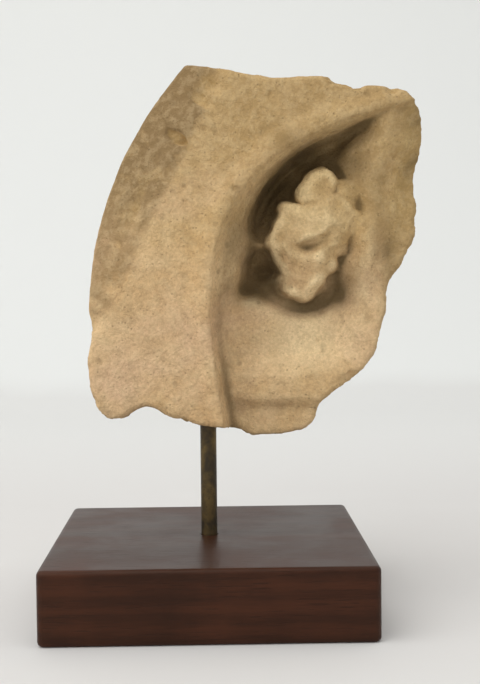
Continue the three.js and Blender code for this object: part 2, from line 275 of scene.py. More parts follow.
@dataclass(frozen=True)
class BrokenOutline:
    """The fragment's outline from the front, in millimetres: one arc down the flank, then breaks."""

    centre: Pair = (16.0, 130.0)
    flank_centre: Pair = (82.3, 110.0)
    flank_radius: float = 124.0
    flank_from: float = 135.8
    flank_to: float = 180.0
    flank_steps: int = 24
    spline_steps: int = 6
    lower_left: tuple[Pair, ...] = (
        (-40.8, 102.0), (-42.2, 92.0), (-40.6, 79.0), (-36.0, 72.0), (-30.0, 72.0),
    )
    foot: tuple[Pair, ...] = ((-21.6, 76.0), (-12.0, 71.4), (-3.0, 68.9), (8.0, 67.4), (16.0, 64.1))
    heel: tuple[Pair, ...] = ((25.0, 64.5), (34.0, 66.2), (38.8, 70.2))
    lower_right: tuple[Pair, ...] = ((41.2, 76.9), (51.6, 84.6), (59.6, 94.0), (63.7, 107.6))
    right: tuple[Pair, ...] = ((65.4, 116.8), (70.6, 126.4), (75.4, 136.0), (75.6, 147.0))
    upper_right: tuple[Pair, ...] = ((75.4, 157.0), (78.0, 170.0), (76.6, 179.4), (70.6, 186.2))
    top: tuple[Pair, ...] = ((61.0, 188.0), (50.0, 188.2), (41.0, 191.4), (24.0, 191.0), (11.0, 193.2))
    peak: Pair = (0.0, 195.6)
    sound_share: float = 0.3
    break_growth: float = 1.5
    right_break: float = 13.0
    foot_break: float = 7.0
    flank_bearing: float = 2.75
    flank_hollow: float = 5.0
    unevenness: float = 1.6
    uneven_round: float = 5.0
    uneven_back: float = 4.0
    uneven_reach: float = 0.9

    def points(self) -> Array:
        """Draw the closed outline.

        Returns:
            Its corners as rows of x and z, anticlockwise from the front.
        """
        angles = np.radians(np.linspace(self.flank_from, self.flank_to, self.flank_steps))
        drawn = [
            (self.flank_centre[0] + self.flank_radius * math.cos(angle),
             self.flank_centre[1] + self.flank_radius * math.sin(angle))
            for angle in angles
        ]
        below = (self.lower_left, self.foot, self.heel, self.lower_right)
        above = (self.right, self.upper_right, self.top)
        for run in below + above:
            drawn += smooth_run((drawn[-1], *run), self.spline_steps)
        drawn.append(self.peak)
        return np.array(drawn)

    def inside(self, x: Array, z: Array) -> Array:
        """Measure how far places lie inside the outline.

        Args:
            x: Places across.
            z: Places upright, in the same shape as x.

        Returns:
            The distance to the outline, less than 0 outside it.
        """
        corners = self.points()
        nearest = np.full(x.shape, np.inf)
        within = np.zeros(x.shape, dtype=bool)
        for (ax, az), (bx, bz) in zip(corners, np.roll(corners, -1, axis=0)):
            length = max((bx - ax) ** 2 + (bz - az) ** 2, TINY)
            share = np.clip(((x - ax) * (bx - ax) + (z - az) * (bz - az)) / length, 0.0, 1.0)
            gap = np.hypot(x - ax - share * (bx - ax), z - az - share * (bz - az))
            nearest = np.minimum(nearest, gap)
            spans = (az > z) != (bz > z)
            crossing = ax + (z - az) * (bx - ax) / (bz - az if bz != az else TINY)
            within ^= spans & (x < crossing)
        return np.where(within, nearest, -nearest)

    def broken_back(self, x: Array, z: Array, share: Array) -> Array:
        """Say how far the sides have broken back from the outline.

        Args:
            x: Places across.
            z: Places upright.
            share: How far back each place lies, from 0 at the front to 1 at the back.

        Returns:
            The distance that the side has moved in.
        """
        bearing = np.arctan2(z - self.centre[1], x - self.centre[0])
        to_right = np.maximum(np.cos(bearing), 0.0)
        to_left = np.maximum(np.cos(bearing - self.flank_bearing), 0.0)
        to_foot = np.maximum(-np.sin(bearing), 0.0)
        held = np.clip(share, 0.0, 1.0)
        behind = np.clip((held - self.sound_share) / (1.0 - self.sound_share), 0.0, 1.0)
        fracture = (self.right_break * to_right + self.foot_break * to_foot) * behind**self.break_growth
        hollow_flank = self.flank_hollow * to_left**2 * np.sin(np.pi * behind)
        wave = np.sin(self.uneven_round * bearing + self.uneven_back * held)
        uneven = self.unevenness * wave * np.sin(np.pi * behind * self.uneven_reach) ** 2
        return fracture + hollow_flank + uneven * to_right


@dataclass(frozen=True)
class SlopingWall:
    """The wall inside the band's arris: a sloping shelf, then a drop into the deep channel.

    A pair is a range of bearings from the eye in degrees, except the drop's edge, in millimetres.
    """

    upper_slope: float = 12.5
    lower_slope: float = 13.0
    upper_reach: float = 7.0
    lower_reach: float = 4.0
    low_from_left: Pair = (185.0, 215.0)
    low_from_right: Pair = (60.0, 25.0)
    shelf_narrow: float = 5.9
    shelf_wide: float = 12.3
    shelf_widens: Pair = (78.0, 162.0)
    shelf_below: float = 2.2
    shelf_widens_below: Pair = (160.0, 176.0)
    drop: float = 17.0
    drop_edge: Pair = (-6.0, 2.6)
    bridge_bearing: float = 160.0
    bridge_height: float = 0.60
    bridge_spread: float = 11.5
    upper_end: float = 0.22
    upper_end_deepens: Pair = (54.0, 116.0)

    def depth(self, inside: Array, bearing: Array) -> Array:
        """Give the wall's depth.

        Args:
            inside: Distance inside the arris.
            bearing: Bearing from the eye, from 0 to 360 degrees.

        Returns:
            The depth behind the band.
        """
        below = np.maximum(ramp(*self.low_from_left, bearing), ramp(*self.low_from_right, bearing))
        slope = self.upper_slope + (self.lower_slope - self.upper_slope) * below
        reach = self.upper_reach + (self.lower_reach - self.upper_reach) * below
        shelf = self.shelf_narrow + (self.shelf_wide - self.shelf_narrow) * ramp(*self.shelf_widens, bearing)
        shelf = shelf + self.shelf_below * ramp(*self.shelf_widens_below, bearing)
        off_bridge = (bearing - self.bridge_bearing) / self.bridge_spread
        bridge = 1.0 - self.bridge_height * np.exp(-(off_bridge**2))
        upper_end = self.upper_end + (1.0 - self.upper_end) * ramp(*self.upper_end_deepens, bearing)
        drop = self.drop * bridge * upper_end * ramp(*self.drop_edge, inside - shelf) * (1.0 - below)
        return slope * (1.0 - np.exp(-np.maximum(inside, 0.0) / reach)) + drop


@dataclass(frozen=True)
class WindingChannel:
    """The channel that winds in round the eye. A pair is a range of turns past its start, in degrees."""

    start: float = 60.0
    inner: float = 16.2
    spread: float = 38.0
    winding: float = 52.0
    half_width: float = 3.9
    upper_cut: float = 5.0
    upper_begins: Pair = (-2.0, 12.0)
    upper_ends: Pair = (70.0, 110.0)
    lower_cut: float = 5.0
    lower_begins: Pair = (130.0, 165.0)
    lower_ends: Pair = (310.0, 335.0)
    tightening: float = 1.2
    tightens: Pair = (215.0, 270.0)
    widening: float = 2.4
    widens: Pair = (225.0, 275.0)
    deepening: float = 0.2
    deepens: Pair = (215.0, 240.0)
    shoaling: float = 0.65
    shoals: Pair = (250.0, 305.0)

    def depth(self, radius: Array, bearing: Array) -> Array:
        """Give the extra depth that the channel cuts.

        Args:
            radius: Distance from the eye.
            bearing: Bearing from the eye, from 0 to 360 degrees.

        Returns:
            The channel's depth.
        """
        turn = (bearing - self.start) % 360.0
        middle = self.inner + self.spread * np.exp(-turn / self.winding)
        middle = middle - self.tightening * ramp(*self.tightens, turn)
        upper = self.upper_cut * ramp(*self.upper_begins, turn) * (1.0 - ramp(*self.upper_ends, turn))
        lower = self.lower_cut * ramp(*self.lower_begins, turn) * (1.0 - ramp(*self.lower_ends, turn))
        gain = self.deepening * ramp(*self.deepens, turn)
        loss = self.shoaling * ramp(*self.shoals, turn)
        lower = lower * (1.0 + gain - loss)
        half_width = self.half_width + self.widening * ramp(*self.widens, turn)
        return (upper + lower) * np.exp(-(((radius - middle) / half_width) ** 2))


@dataclass(frozen=True)
class WornBoss:
    """The worn eye, the last turn that curls over it and what is left above them."""

    sway_x: tuple[Ripple, ...] = (Ripple(1.0, LEVEL, 2.6, 1.0), Ripple(0.22, 2.1, 1.3))
    sway_z: tuple[Ripple, ...] = (Ripple(0.8, 2.9, LEVEL, 2.0), Ripple(0.22, 1.4, -2.3))
    last_turn: tuple[Point, ...] = (
        (28.0, 129.5, 3.4), (29.0, 136.6, 5.0), (33.4, 141.2, 6.2), (41.0, 141.4, 6.2), (48.0, 142.8, 7.0),
    )
    turn_depth: float = 4.6
    turn_crown: float = 1.6
    turn_drop: float = 17.0
    turn_edge: Pair = (0.75, 1.7)
    knobs: tuple[Knob, ...] = (
        Knob(37.6, 135.0, 13.2, 9.4, 8.2, 0.8),
        Knob(36.6, 127.5, 10.8, 8.6, 6.6, 1.6),
        Knob(35.6, 120.8, 7.4, 8.4, 7.0, 2.2),
        Knob(40.0, 152.2, 6.4, 7.4, 5.0, 2.0),
        Knob(50.0, 150.0, 6.0, 6.8, 8.6, 1.6),
        Knob(46.6, 133.6, 5.6, 6.0, 7.6, 1.2),
    )
    knob_blend: float = 3.6
    lumps: tuple[Dome, ...] = (
        Dome(31.2, 142.6, 4.6, 3.6, 2.8),
        Dome(41.4, 140.6, 4.6, 2.4, 1.0),
        Dome(40.4, 155.6, 3.2, 2.2, 1.3),
        Dome(44.0, 151.8, 1.6, 3.2, -0.9),
        Dome(37.4, 147.6, 4.6, 1.4, -1.2),
        Dome(51.0, 144.4, 3.0, 4.0, 0.9),
        Dome(36.4, 132.2, 8.4, 2.6, -3.6),
        Dome(48.0, 124.0, 3.4, 5.0, -2.0),
        Dome(32.0, 128.4, 4.4, 2.2, 0.9),
        Dome(39.4, 124.0, 2.4, 4.4, 0.9),
        Dome(36.0, 121.6, 2.0, 3.6, -1.0),
    )
    breaks: tuple[Break, ...] = (
        Break(30.6, 142.0, 4.6, -0.34, 0.34),
        Break(42.0, 141.0, 4.8, 0.10, 0.16),
        Break(41.0, 154.4, 5.0, -0.04, 0.46),
        Break(38.4, 150.0, 5.4, -0.42, -0.08),
        Break(36.0, 137.0, 5.0, 0.02, -0.16),
        Break(31.0, 125.0, 6.8, -0.36, -0.22),
        Break(39.0, 124.0, 6.9, 0.40, -0.20),
    )
    break_blend: float = 1.0
    facets: tuple[Ripple, Ripple] = (Ripple(1.0, 3.4, 5.2, 0.6), Ripple(1.0, -6.1, 2.9))
    crossing: tuple[Ripple, Ripple] = (Ripple(1.0, 1.5, 3.1), Ripple(1.0, -2.7, 1.9))
    fine_chipping: Ripple = Ripple(0.35, 0.9, -1.1)
    facet_share: float = 1.6
    roughness: float = 0.26

    def depth(self, x: Array, z: Array) -> Array:
        """Give the boss's depth, which is very great away from it.

        Args:
            x: Places across.
            z: Places upright.

        Returns:
            The depth behind the front plane.
        """
        swayed_x, swayed_z = x, z
        for ripple in self.sway_x:
            swayed_x = swayed_x + ripple.at(x, z)
        for ripple in self.sway_z:
            swayed_z = swayed_z + ripple.at(x, z)
        x, z = swayed_x, swayed_z
        depth = np.full(x.shape, np.inf)
        for (ax, az, aw), (bx, bz, bw) in zip(self.last_turn, self.last_turn[1:]):
            share = ((x - ax) * (bx - ax) + (z - az) * (bz - az)) / ((bx - ax) ** 2 + (bz - az) ** 2)
            share = np.clip(share, 0.0, 1.0)
            off = np.hypot(x - ax - share * (bx - ax), z - az - share * (bz - az))
            out = off / (aw + share * (bw - aw))
            part = worn_lump(out, self.turn_depth, self.turn_crown, self.turn_drop, self.turn_edge)
            depth = np.minimum(depth, part)
        for knob in self.knobs:
            depth = soft_min(depth, knob.at(x, z), self.knob_blend)
        for lump in self.lumps:
            depth = depth - lump.at(x, z)
        for flat in self.breaks:
            depth = soft_max(depth, flat.at(x, z), self.break_blend)
        facets = np.abs(self.facets[0].at(x, z)) + np.abs(self.facets[1].at(x, z))
        chipped = self.crossing[0].at(x, z) * self.crossing[1].at(x, z) + self.fine_chipping.at(x, z)
        return depth + self.roughness * (chipped + self.facet_share * facets)


@dataclass(frozen=True)
class LowestTurn:
    """The lowest turn, which rises towards the front as it goes down. A pair is a range in millimetres."""

    deepest: float = 18.0
    rise: float = 13.5
    rises: Pair = (110.0, 84.0)
    tilt: float = 0.13
    ledge: float = 3.2
    ledge_falls: Pair = (79.0, 73.0)
    ledge_ends: Pair = (38.0, 50.0)

    def depth(self, x: Array, z: Array, ridge: Array) -> Array:
        """Give the turn's depth.

        Args:
            x: Places across.
            z: Places upright.
            ridge: Where the broken ridge right of it stands, across, at each height.

        Returns:
            The depth behind the front plane.
        """
        hollow = self.deepest - self.rise * ramp(*self.rises, z)
        tilt = self.tilt * np.maximum(ridge - x, 0.0)
        ledge = self.ledge * ramp(*self.ledge_falls, z) * (1.0 - ramp(*self.ledge_ends, x))
        return hollow + tilt + ledge


@dataclass(frozen=True)
class BrokenRidge:
    """The broken ridge right of the eye, with a slope on each side. A pair is a range in millimetres."""

    foot: Pair = (55.4, 103.0)
    lean: float = 0.125
    crest_depth: float = 5.5
    rounding: float = 4.0
    ragged: tuple[Ripple, Ripple] = (Ripple(1.3, LEVEL, 5.3), Ripple(0.9, LEVEL, 2.9, 1.0))
    upper_rise: float = 4.6
    upper_rises: Pair = (150.0, 182.0)
    slope: float = 0.78
    slope_begins: Pair = (96.0, 118.0)
    slope_easing: float = 0.5
    slope_eases: Pair = (160.0, 182.0)
    fall: float = 0.32
    fall_growth: float = 0.05
    fall_easing: float = 0.018
    fall_eases: Pair = (145.0, 170.0)
    breaks: tuple[Ripple, Ripple] = (Ripple(0.7, 2.3, 5.1), Ripple(1.0, -4.7, 3.3))
    breaks_begin: Pair = (0.0, 6.0)
    pocket: Dome = Dome(66.5, 131.0, 4.6, 6.0, 2.4)

    def line(self, z: Array) -> Array:
        """Give the place across of the ridge's crest at each height."""
        return self.foot[0] + self.lean * (z - self.foot[1])

    def depth(self, x: Array, z: Array) -> Array:
        """Give the ridge's depth.

        Args:
            x: Places across.
            z: Places upright.

        Returns:
            The depth behind the front plane.
        """
        ragged = self.ragged[0].at(x, z) + self.ragged[1].at(x, z)
        off = x - self.foot[0] - self.lean * (z - self.foot[1]) - ragged
        rounded = np.sqrt(off * off + self.rounding**2)
        right = (rounded + off) / 2.0
        left = (rounded - off) / 2.0
        upper_end = self.upper_rise * ramp(*self.upper_rises, z)
        eased = 1.0 - self.slope_easing * ramp(*self.slope_eases, z)
        slope = self.slope * ramp(*self.slope_begins, z) * eased
        broken = self.breaks[0].at(x, z) * self.breaks[1].at(x, z) * ramp(*self.breaks_begin, right)
        growth = self.fall_growth - self.fall_easing * ramp(*self.fall_eases, z)
        fall = self.fall * left + growth * left**2
        return self.crest_depth - upper_end + slope * right + fall + self.pocket.at(x, z) + broken


@dataclass(frozen=True)
class VoluteFace:
    """The carved face's relief: how deep each place lies behind the front plane, in millimetres."""

    eye: Pair = (36.0, 127.0)
    arris_nearest: float = 33.0
    arris_bearing: float = 163.0
    arris_opening_up: float = 0.565
    arris_opening_down: float = 0.75
    arris_turned_most: float = 85.0
    deepest: float = 25.0
    part_blend: float = 3.0
    wall_blend: float = 2.0
    channel_begins: Pair = (1.0, 4.0)
    drill_begins: Pair = (0.0, 3.0)
    band_hollow: float = 1.5
    band_hollow_begins: Pair = (3.0, 8.5)
    looks_around: int = 8
    wall: SlopingWall = SlopingWall()
    channel: WindingChannel = WindingChannel()
    boss: WornBoss = WornBoss()
    lowest_turn: LowestTurn = LowestTurn()
    ridge: BrokenRidge = BrokenRidge()
    drill: tuple[Dome, ...] = (
        Dome(21.8, 120.2, 5.6, 6.4, 8.4),
        Dome(15.4, 116.6, 4.0, 3.2, 5.0),
    )

    def arris_radius(self, bearing: Array) -> Array:
        """Give the distance from the eye to the band's inner arris.

        Args:
            bearing: Bearings from the eye in degrees.

        Returns:
            The distance at each bearing.
        """
        away = (bearing - self.arris_bearing + 180.0) % 360.0 - 180.0
        opening = np.where(away > 0.0, self.arris_opening_down, self.arris_opening_up)
        turned = np.radians(np.minimum(opening * np.abs(away), self.arris_turned_most))
        return self.arris_nearest / np.cos(turned)

    def proud(self, x: Array, z: Array, reach: float) -> Array:
        """Say how far places stand proud of the relief around them.

        Args:
            x: Places across.
            z: Places upright.
            reach: How far around each place to look.

        Returns:
            The height over the surroundings, less than 0 in a hollow.
        """
        around = np.zeros(x.shape)
        for bearing in np.radians(np.arange(0.0, 360.0, 360.0 / self.looks_around)):
            there = self.depth(x + reach * math.cos(bearing), z + reach * math.sin(bearing))[0]
            around += there / self.looks_around
        return around - self.depth(x, z)[0]

    def depth(self, x: Array, z: Array) -> tuple[Array, Array]:
        """Work out the relief.

        Args:
            x: Places across.
            z: Places upright.

        Returns:
            The depth behind the front plane, and how far each place lies inside the arris.
        """
        dx = x - self.eye[0]
        dz = z - self.eye[1]
        bearing = np.degrees(np.arctan2(dz, dx)) % 360.0
        radius = np.hypot(dx, dz)
        inside = self.arris_radius(bearing) - radius
        floor = np.full(x.shape, self.deepest)
        lowest_turn = self.lowest_turn.depth(x, z, self.ridge.line(z))
        for part in (self.boss.depth(x, z), lowest_turn, self.ridge.depth(x, z)):
            floor = soft_min(floor, part, self.part_blend)
        within = soft_min(floor, self.wall.depth(inside, bearing), self.wall_blend)
        within = within + self.channel.depth(radius, bearing) * ramp(*self.channel_begins, inside)
        for hole in self.drill:
            within = within + hole.at(x, z) * ramp(*self.drill_begins, inside)
        band = self.band_hollow * ramp(*self.band_hollow_begins, -inside)
        return np.where(inside > 0.0, np.maximum(within, 0.0), band), inside


# ---- the carved stone ----------------------------------------------------------------------------


def surface_net(values: Array, low: Array, spacing: float) -> tuple[Array, Array]:
    """Wrap the zero surface of a sampled field in four-sided faces.

    Args:
        values: The field on a grid, less than 0 inside the solid.
        low: The place of the grid's first sample.
        spacing: The distance between samples.

    Returns:
        The corners, and the faces as rows of four corner numbers.
    """
    cells = tuple(size - 1 for size in values.shape)
    total = np.zeros((*cells, 3))
    count = np.zeros(cells)
    crossings = []
    for axis in range(3):
        near = np.moveaxis(values, axis, 0)[:-1]
        far = np.moveaxis(values, axis, 0)[1:]
        crossed = (near < 0.0) != (far < 0.0)
        share = np.where(crossed, near / np.where(crossed, near - far, 1.0), 0.0)
        crossings.append((crossed, near < 0.0))
        others = [other for other in range(3) if other != axis]
        cell_total = np.moveaxis(total, axis, 0)
        cell_count = np.moveaxis(count, axis, 0)
        grid = np.indices(crossed.shape).astype(float)
        grid[0] += share
        for first in (0, 1):
            for second in (0, 1):
                window = (
                    slice(None),
                    slice(first, first + cells[others[0]]),
                    slice(second, second + cells[others[1]]),
                )
                hit = crossed[window]
                cell_count += hit
                for place, world_axis in zip(grid, (axis, *others)):
                    cell_total[..., world_axis] += np.where(hit, place[window], 0.0)
    used = count > 0
    number = np.full(cells, -1)
    number[used] = np.arange(int(used.sum()))
    corners = total[used] / count[used][:, None] * spacing + low
    faces = []
    for axis, (crossed, solid_near) in enumerate(crossings):
        ids = np.moveaxis(number, axis, 0)
        inner = (slice(None), slice(1, -1), slice(1, -1))
        hit = crossed[inner]
        around = (ids[:, :-1, :-1], ids[:, 1:, :-1], ids[:, 1:, 1:], ids[:, :-1, 1:])
        quad = np.stack([cell[hit] for cell in around], 1)
        outward = solid_near[inner][hit] ^ (axis == 1)
        faces.append(np.where(outward[:, None], quad, quad[:, ::-1]))
    return corners, np.concatenate(faces)


@dataclass(frozen=True)
class Surface:
    """The stone's corners in millimetres, with y back from the front plane, and how the face lies there."""

    x: Array
    y: Array
    z: Array
    depth: Array
    inside_arris: Array
    proud: Array
    behind: Array
    on_wall: Array


@dataclass(frozen=True)
class MarkRules:
    """Where the stone's marks show. A pair is a range in millimetres, from no mark to the full mark."""

    behind_face: Pair = (1.0, 4.0)
    proud_reach: float = 3.5
    wall_begins: Pair = (0.0, 3.0)
    wall_ends: Pair = (16.0, 11.0)
    wall_above: Pair = (108.0, 120.0)
    near_flank: Pair = (12.0, 2.0)
    flank_above: Pair = (100.0, 112.0)
    right_of_ridge: Pair = (2.0, 9.0)
    recess_begins: Pair = (1.0, 6.0)
    recess_breakage: float = 0.3
    boss_middle: Pair = (37.0, 137.0)
    boss_squash: float = 0.8
    boss_begins: Pair = (1.0, 4.0)
    boss_ends: Pair = (26.0, 20.0)
    boss_breakage: float = 0.6
    # painted shade in the hollows, by depth and by sunkenness, with soil there too
    deep: Pair = (11.0, 21.0)
    sunk: Pair = (0.2, 2.6)
    sunk_share: float = 0.8
    # painted shade down the wall inside the arris, darker with depth
    wall_shade: Pair = (2.0, 10.0)
    wall_shade_share: float = 0.5
    chamfer_edge: Pair = (-2.0, -0.2)
    stain_above: Pair = (92.0, 118.0)
    # pale wear where the carving stands proud, also a painted highlight there
    standing: Pair = (0.15, 1.8)
    wear_and_light_begins: Pair = (0.0, 3.0)
    # painted highlights on the lit bowl below the eye and on the boss's top
    painted_highlight_spots: tuple[Dome, ...] = (
        Dome(36.0, 98.0, 15.0, 10.0, 1.1),
        Dome(38.0, 141.5, 13.0, 4.6, 0.8),
    )
    # painted shade: dark patches on the pockets, the ridge's flanks and the hollows round the boss
    painted_shade_spots: tuple[Dome, ...] = (
        Dome(53.0, 162.0, 6.0, 8.0, 0.66),
        Dome(51.0, 116.0, 5.0, 8.0, 0.40),
        Dome(61.0, 145.0, 4.4, 12.0, 0.36),
        Dome(65.4, 130.4, 3.6, 6.0, 0.42),
        Dome(28.5, 169.6, 5.6, 4.0, 0.36),
        Dome(37.0, 132.6, 8.0, 2.8, 0.28),
        Dome(55.6, 122.0, 4.6, 11.0, 0.20),
        Dome(14.6, 111.8, 6.0, 3.0, 0.30),
        Dome(8.5, 138.0, 4.0, 12.0, 0.24),
        Dome(32.0, 151.6, 4.0, 3.2, 0.34),
    )
    # painted light: patches that lift the painted shade where the carving should read lighter
    painted_light_spots: tuple[Dome, ...] = (
        Dome(46.8, 171.2, 9.0, 6.4, 0.52),
        Dome(31.0, 159.0, 5.4, 3.8, 0.26),
        Dome(18.6, 138.0, 4.4, 15.0, 0.34),
        Dome(49.4, 138.0, 4.4, 10.0, 0.38),
        Dome(44.0, 118.6, 4.6, 5.2, 0.46),
        Dome(13.0, 122.4, 4.6, 4.4, 0.42),
        Dome(24.5, 111.2, 5.4, 2.8, 0.36),
    )


@dataclass
class CarvedFragment:
    """The carved stone: one solid with its worn face, its broken sides and its drilled foot."""

    outline: BrokenOutline = field(default_factory=BrokenOutline)
    face: VoluteFace = field(default_factory=VoluteFace)
    rules: MarkRules = field(default_factory=MarkRules)
    thickness: float = 50.0
    spacing: float = 0.78
    margin_steps: float = 3.0
    edge_wear: float = 2.2
    chamfer_wear_share: float = 0.7
    chamfer_low: Pair = (-42.0, 95.0)
    chamfer_high: Pair = (4.0, 187.0)
    chamfer_slope: float = 31.0
    back_loss: float = 2.6
    back_swell: Ripple = Ripple(1.7, 13.0, LEVEL, 1.0)
    back_swell_height: float = 17.0
    back_ripple: Ripple = Ripple(0.8, 6.0, -8.0)
    back_crown: float = 0.0016
    bore_radius: float = 3.3
    bore_top: float = 92.3
    chips_along_edge: int = 46
    chip_seed: int = 11
    chip_scatter: float = 0.8
    chip_back: Pair = (-1.0, 7.0)
    chip_sizes: Pair = (1.0, 3.2)
    chip_flatness: float = 1.6
    chip_blend: float = 1.6
    chip_wander: float = 1.1
    chip_wander_size: float = 6.0
    chips: tuple[Chip, ...] = (
        Chip(0.5, 0.0, 190.0, 7.0),
        Chip(-12.5, 0.5, 171.0, 5.8),
        Chip(-27.0, 2.5, 149.0, 5.0),
        Chip(-33.5, 2.5, 133.5, 4.6),
        Chip(-36.5, 0.5, 119.0, 5.2),
    )

    def back_depth(self, x: Array, z: Array) -> Array:
        """Give the depth of the rough break across the back.

        Args:
            x: Places across.
            z: Places upright.

        Returns:
            The depth behind the front plane.
        """
        across = x - self.outline.centre[0]
        swell = self.back_swell.at(x, z) * np.cos(z / self.back_swell_height)
        wave = swell + self.back_ripple.at(x, z)
        return self.thickness - self.back_loss + wave - self.back_crown * across**2

    def chamfer(self, x: Array, y: Array, z: Array) -> Array:
        """Say how far places stand proud of the long chamfer down the left flank.

        Args:
            x: Places across.
            y: Places back from the front plane.
            z: Places upright.

        Returns:
            The distance, less than 0 within the stone.
        """
        run_x = self.chamfer_high[0] - self.chamfer_low[0]
        run_z = self.chamfer_high[1] - self.chamfer_low[1]
        length = math.hypot(run_x, run_z)
        left = ((z - self.chamfer_low[1]) * run_x - (x - self.chamfer_low[0]) * run_z) / length
        slope = math.radians(self.chamfer_slope)
        return left * math.sin(slope) - y * math.cos(slope)

    def edge_chips(self) -> tuple[Chip, ...]:
        """Scatter small chips along the worn front edge.

        Returns:
            The chips, the same ones every time.
        """
        draw = np.random.default_rng(self.chip_seed)
        corners = self.outline.points()
        picked = draw.choice(len(corners), self.chips_along_edge, replace=False)
        bites = []
        for index in picked:
            x, z = corners[index] + draw.normal(0.0, self.chip_scatter, 2)
            bites.append(Chip(x, draw.uniform(*self.chip_back), z, draw.uniform(*self.chip_sizes)))
        return tuple(bites)

    def wander(self, x: Array, y: Array, z: Array) -> Array:
        """Give the unevenness of the chips' walls.

        Args:
            x: Places across.
            y: Places back from the front plane.
            z: Places upright.

        Returns:
            How far the wall of a large chip wanders, in millimetres.
        """
        # three crossing waves of a few millimetres, so that no chip is a clean ball
        crossing = np.sin(x / 1.9 + 0.7 * z) + np.sin(z / 2.3 - y / 1.7)
        return self.chip_wander * (crossing + 0.8 * np.sin(y / 1.3 + x / 3.1))

    def field(self, x: Array, y: Array, z: Array) -> Array:
        """Work out the solid's field on a grid.

        Args:
            x: Places across, in a column that broadcasts with the others.
            y: Places back from the front plane.
            z: Places upright.

        Returns:
            Values less than 0 inside the stone.
        """
        flat_x, flat_z = np.broadcast_arrays(x[:, 0, :], z[:, 0, :])
        depth, _ = self.face.depth(flat_x, flat_z)
        inside = self.outline.inside(flat_x, flat_z)
        back = self.back_depth(flat_x, flat_z)
        broken_in = self.outline.broken_back(x, z, y / self.thickness)
        solid = soft_max(depth[:, None, :] - y, broken_in - inside[:, None, :], self.edge_wear)
        solid = soft_max(solid, y - back[:, None, :], self.edge_wear)
        solid = soft_max(solid, self.chamfer(x, y, z), self.edge_wear * self.chamfer_wear_share)
        wander = self.wander(x, y, z)
        for chip in (*self.chips, *self.edge_chips()):
            flattened = self.chip_flatness * (y - chip.y) ** 2
            reach = np.sqrt((x - chip.x) ** 2 + flattened + (z - chip.z) ** 2)
            bite = chip.radius + wander * chip.radius / self.chip_wander_size - reach
            solid = soft_max(solid, bite, self.chip_blend)
        bore = np.minimum(self.bore_radius - np.hypot(x, y - self.thickness / 2.0), self.bore_top - z)
        return np.maximum(solid, bore)

    def mesh(self) -> bpy.types.Mesh:
        """Wrap the stone's field in a closed mesh that carries its marks.

        Returns:
            The mesh, in metres.
        """
        corners = self.outline.points()
        margin = self.margin_steps * self.spacing
        low = np.array([corners[:, 0].min(), 0.0, corners[:, 1].min()]) - margin
        high = np.array([corners[:, 0].max(), self.thickness, corners[:, 1].max()]) + margin
        count = np.ceil((high - low) / self.spacing).astype(int)
        axes = [low[axis] + self.spacing * np.arange(count[axis]) for axis in range(3)]
        x, y, z = np.meshgrid(*axes, indexing="ij", sparse=True)
        places, faces = surface_net(self.field(x, y, z), low, self.spacing)
        mesh = bpy.data.meshes.new(Node.FRAGMENT.value)
        lifted = (places - np.array([0.0, self.thickness / 2.0, 0.0])) * MM
        mesh.from_pydata(lifted.tolist(), [], faces.tolist())
        self.mark(mesh, places)
        mesh.update()
        return mesh

    def survey(self, places: Array) -> Surface:
        """Find how the carved face lies at the stone's corners.

        Args:
            places: The corners in millimetres, with y back from the front plane.

        Returns:
            What the marks are worked out from.
        """
        rules = self.rules
        x, y, z = places.T
        depth, inside = self.face.depth(x, z)
        on_wall = ramp(*rules.wall_ends, inside) * ramp(*rules.wall_begins, inside)
        on_wall = on_wall * ramp(*rules.wall_above, z)
        proud = self.face.proud(x, z, rules.proud_reach)
        return Surface(x, y, z, depth, inside, proud, ramp(*rules.behind_face, y - depth), on_wall)

    def broken(self, here: Surface) -> Array:
        """Say how rough and broken the stone is: most on its back and sides, less in the recess.

        Args:
            here: The stone's surface.

        Returns:
            A share from 0 to 1 at each corner.
        """
        rules = self.rules
        flank_x, flank_z = self.outline.flank_centre
        off_flank = np.abs(np.hypot(here.x - flank_x, here.z - flank_z) - self.outline.flank_radius)
        flank = ramp(*rules.near_flank, off_flank)
        sides = here.behind * (1.0 - flank * ramp(*rules.flank_above, here.z))
        right = ramp(*rules.right_of_ridge, here.x - self.face.ridge.line(here.z))
        recess = rules.recess_breakage * ramp(*rules.recess_begins, here.inside_arris)
        boss_x, boss_z = rules.boss_middle
        from_boss = np.hypot(here.x - boss_x, rules.boss_squash * (here.z - boss_z))
        boss = ramp(*rules.boss_begins, here.inside_arris) * ramp(*rules.boss_ends, from_boss)
        return np.maximum(np.maximum(sides, np.maximum(right, recess)), rules.boss_breakage * boss)

    def hollow(self, here: Surface) -> Array:
        """Say how much soil and painted shade darken the stone: painted shade by depth, in sunken places and
        down the arris wall, with painted shade spots added and painted light spots taken off.

        Args:
            here: The stone's surface.

        Returns:
            A share from 0 to 1 at each corner.
        """
        rules = self.rules
        # painted shade that deepens with depth and in sunken places, with some soil there too
        sheltered = ramp(*rules.deep, here.depth) + rules.sunk_share * ramp(*rules.sunk, -here.proud)
        soil_and_shade = np.clip(sheltered, 0.0, 1.0) * (1.0 - here.behind)
        # painted shade on the wall inside the arris
        wall_shade = rules.wall_shade_share * ramp(*rules.wall_shade, here.depth) * here.on_wall
        soil_and_shade = np.clip(soil_and_shade + wall_shade * (1.0 - here.behind), 0.0, 1.0)
        # painted shade patches
        for shade_spot in rules.painted_shade_spots:
            soil_and_shade = soil_and_shade + shade_spot.at(here.x, here.z) * (1.0 - here.behind)
        # painted light patches
        for light_spot in rules.painted_light_spots:
            soil_and_shade = soil_and_shade - light_spot.at(here.x, here.z)
        return np.clip(soil_and_shade, 0.0, 1.0)

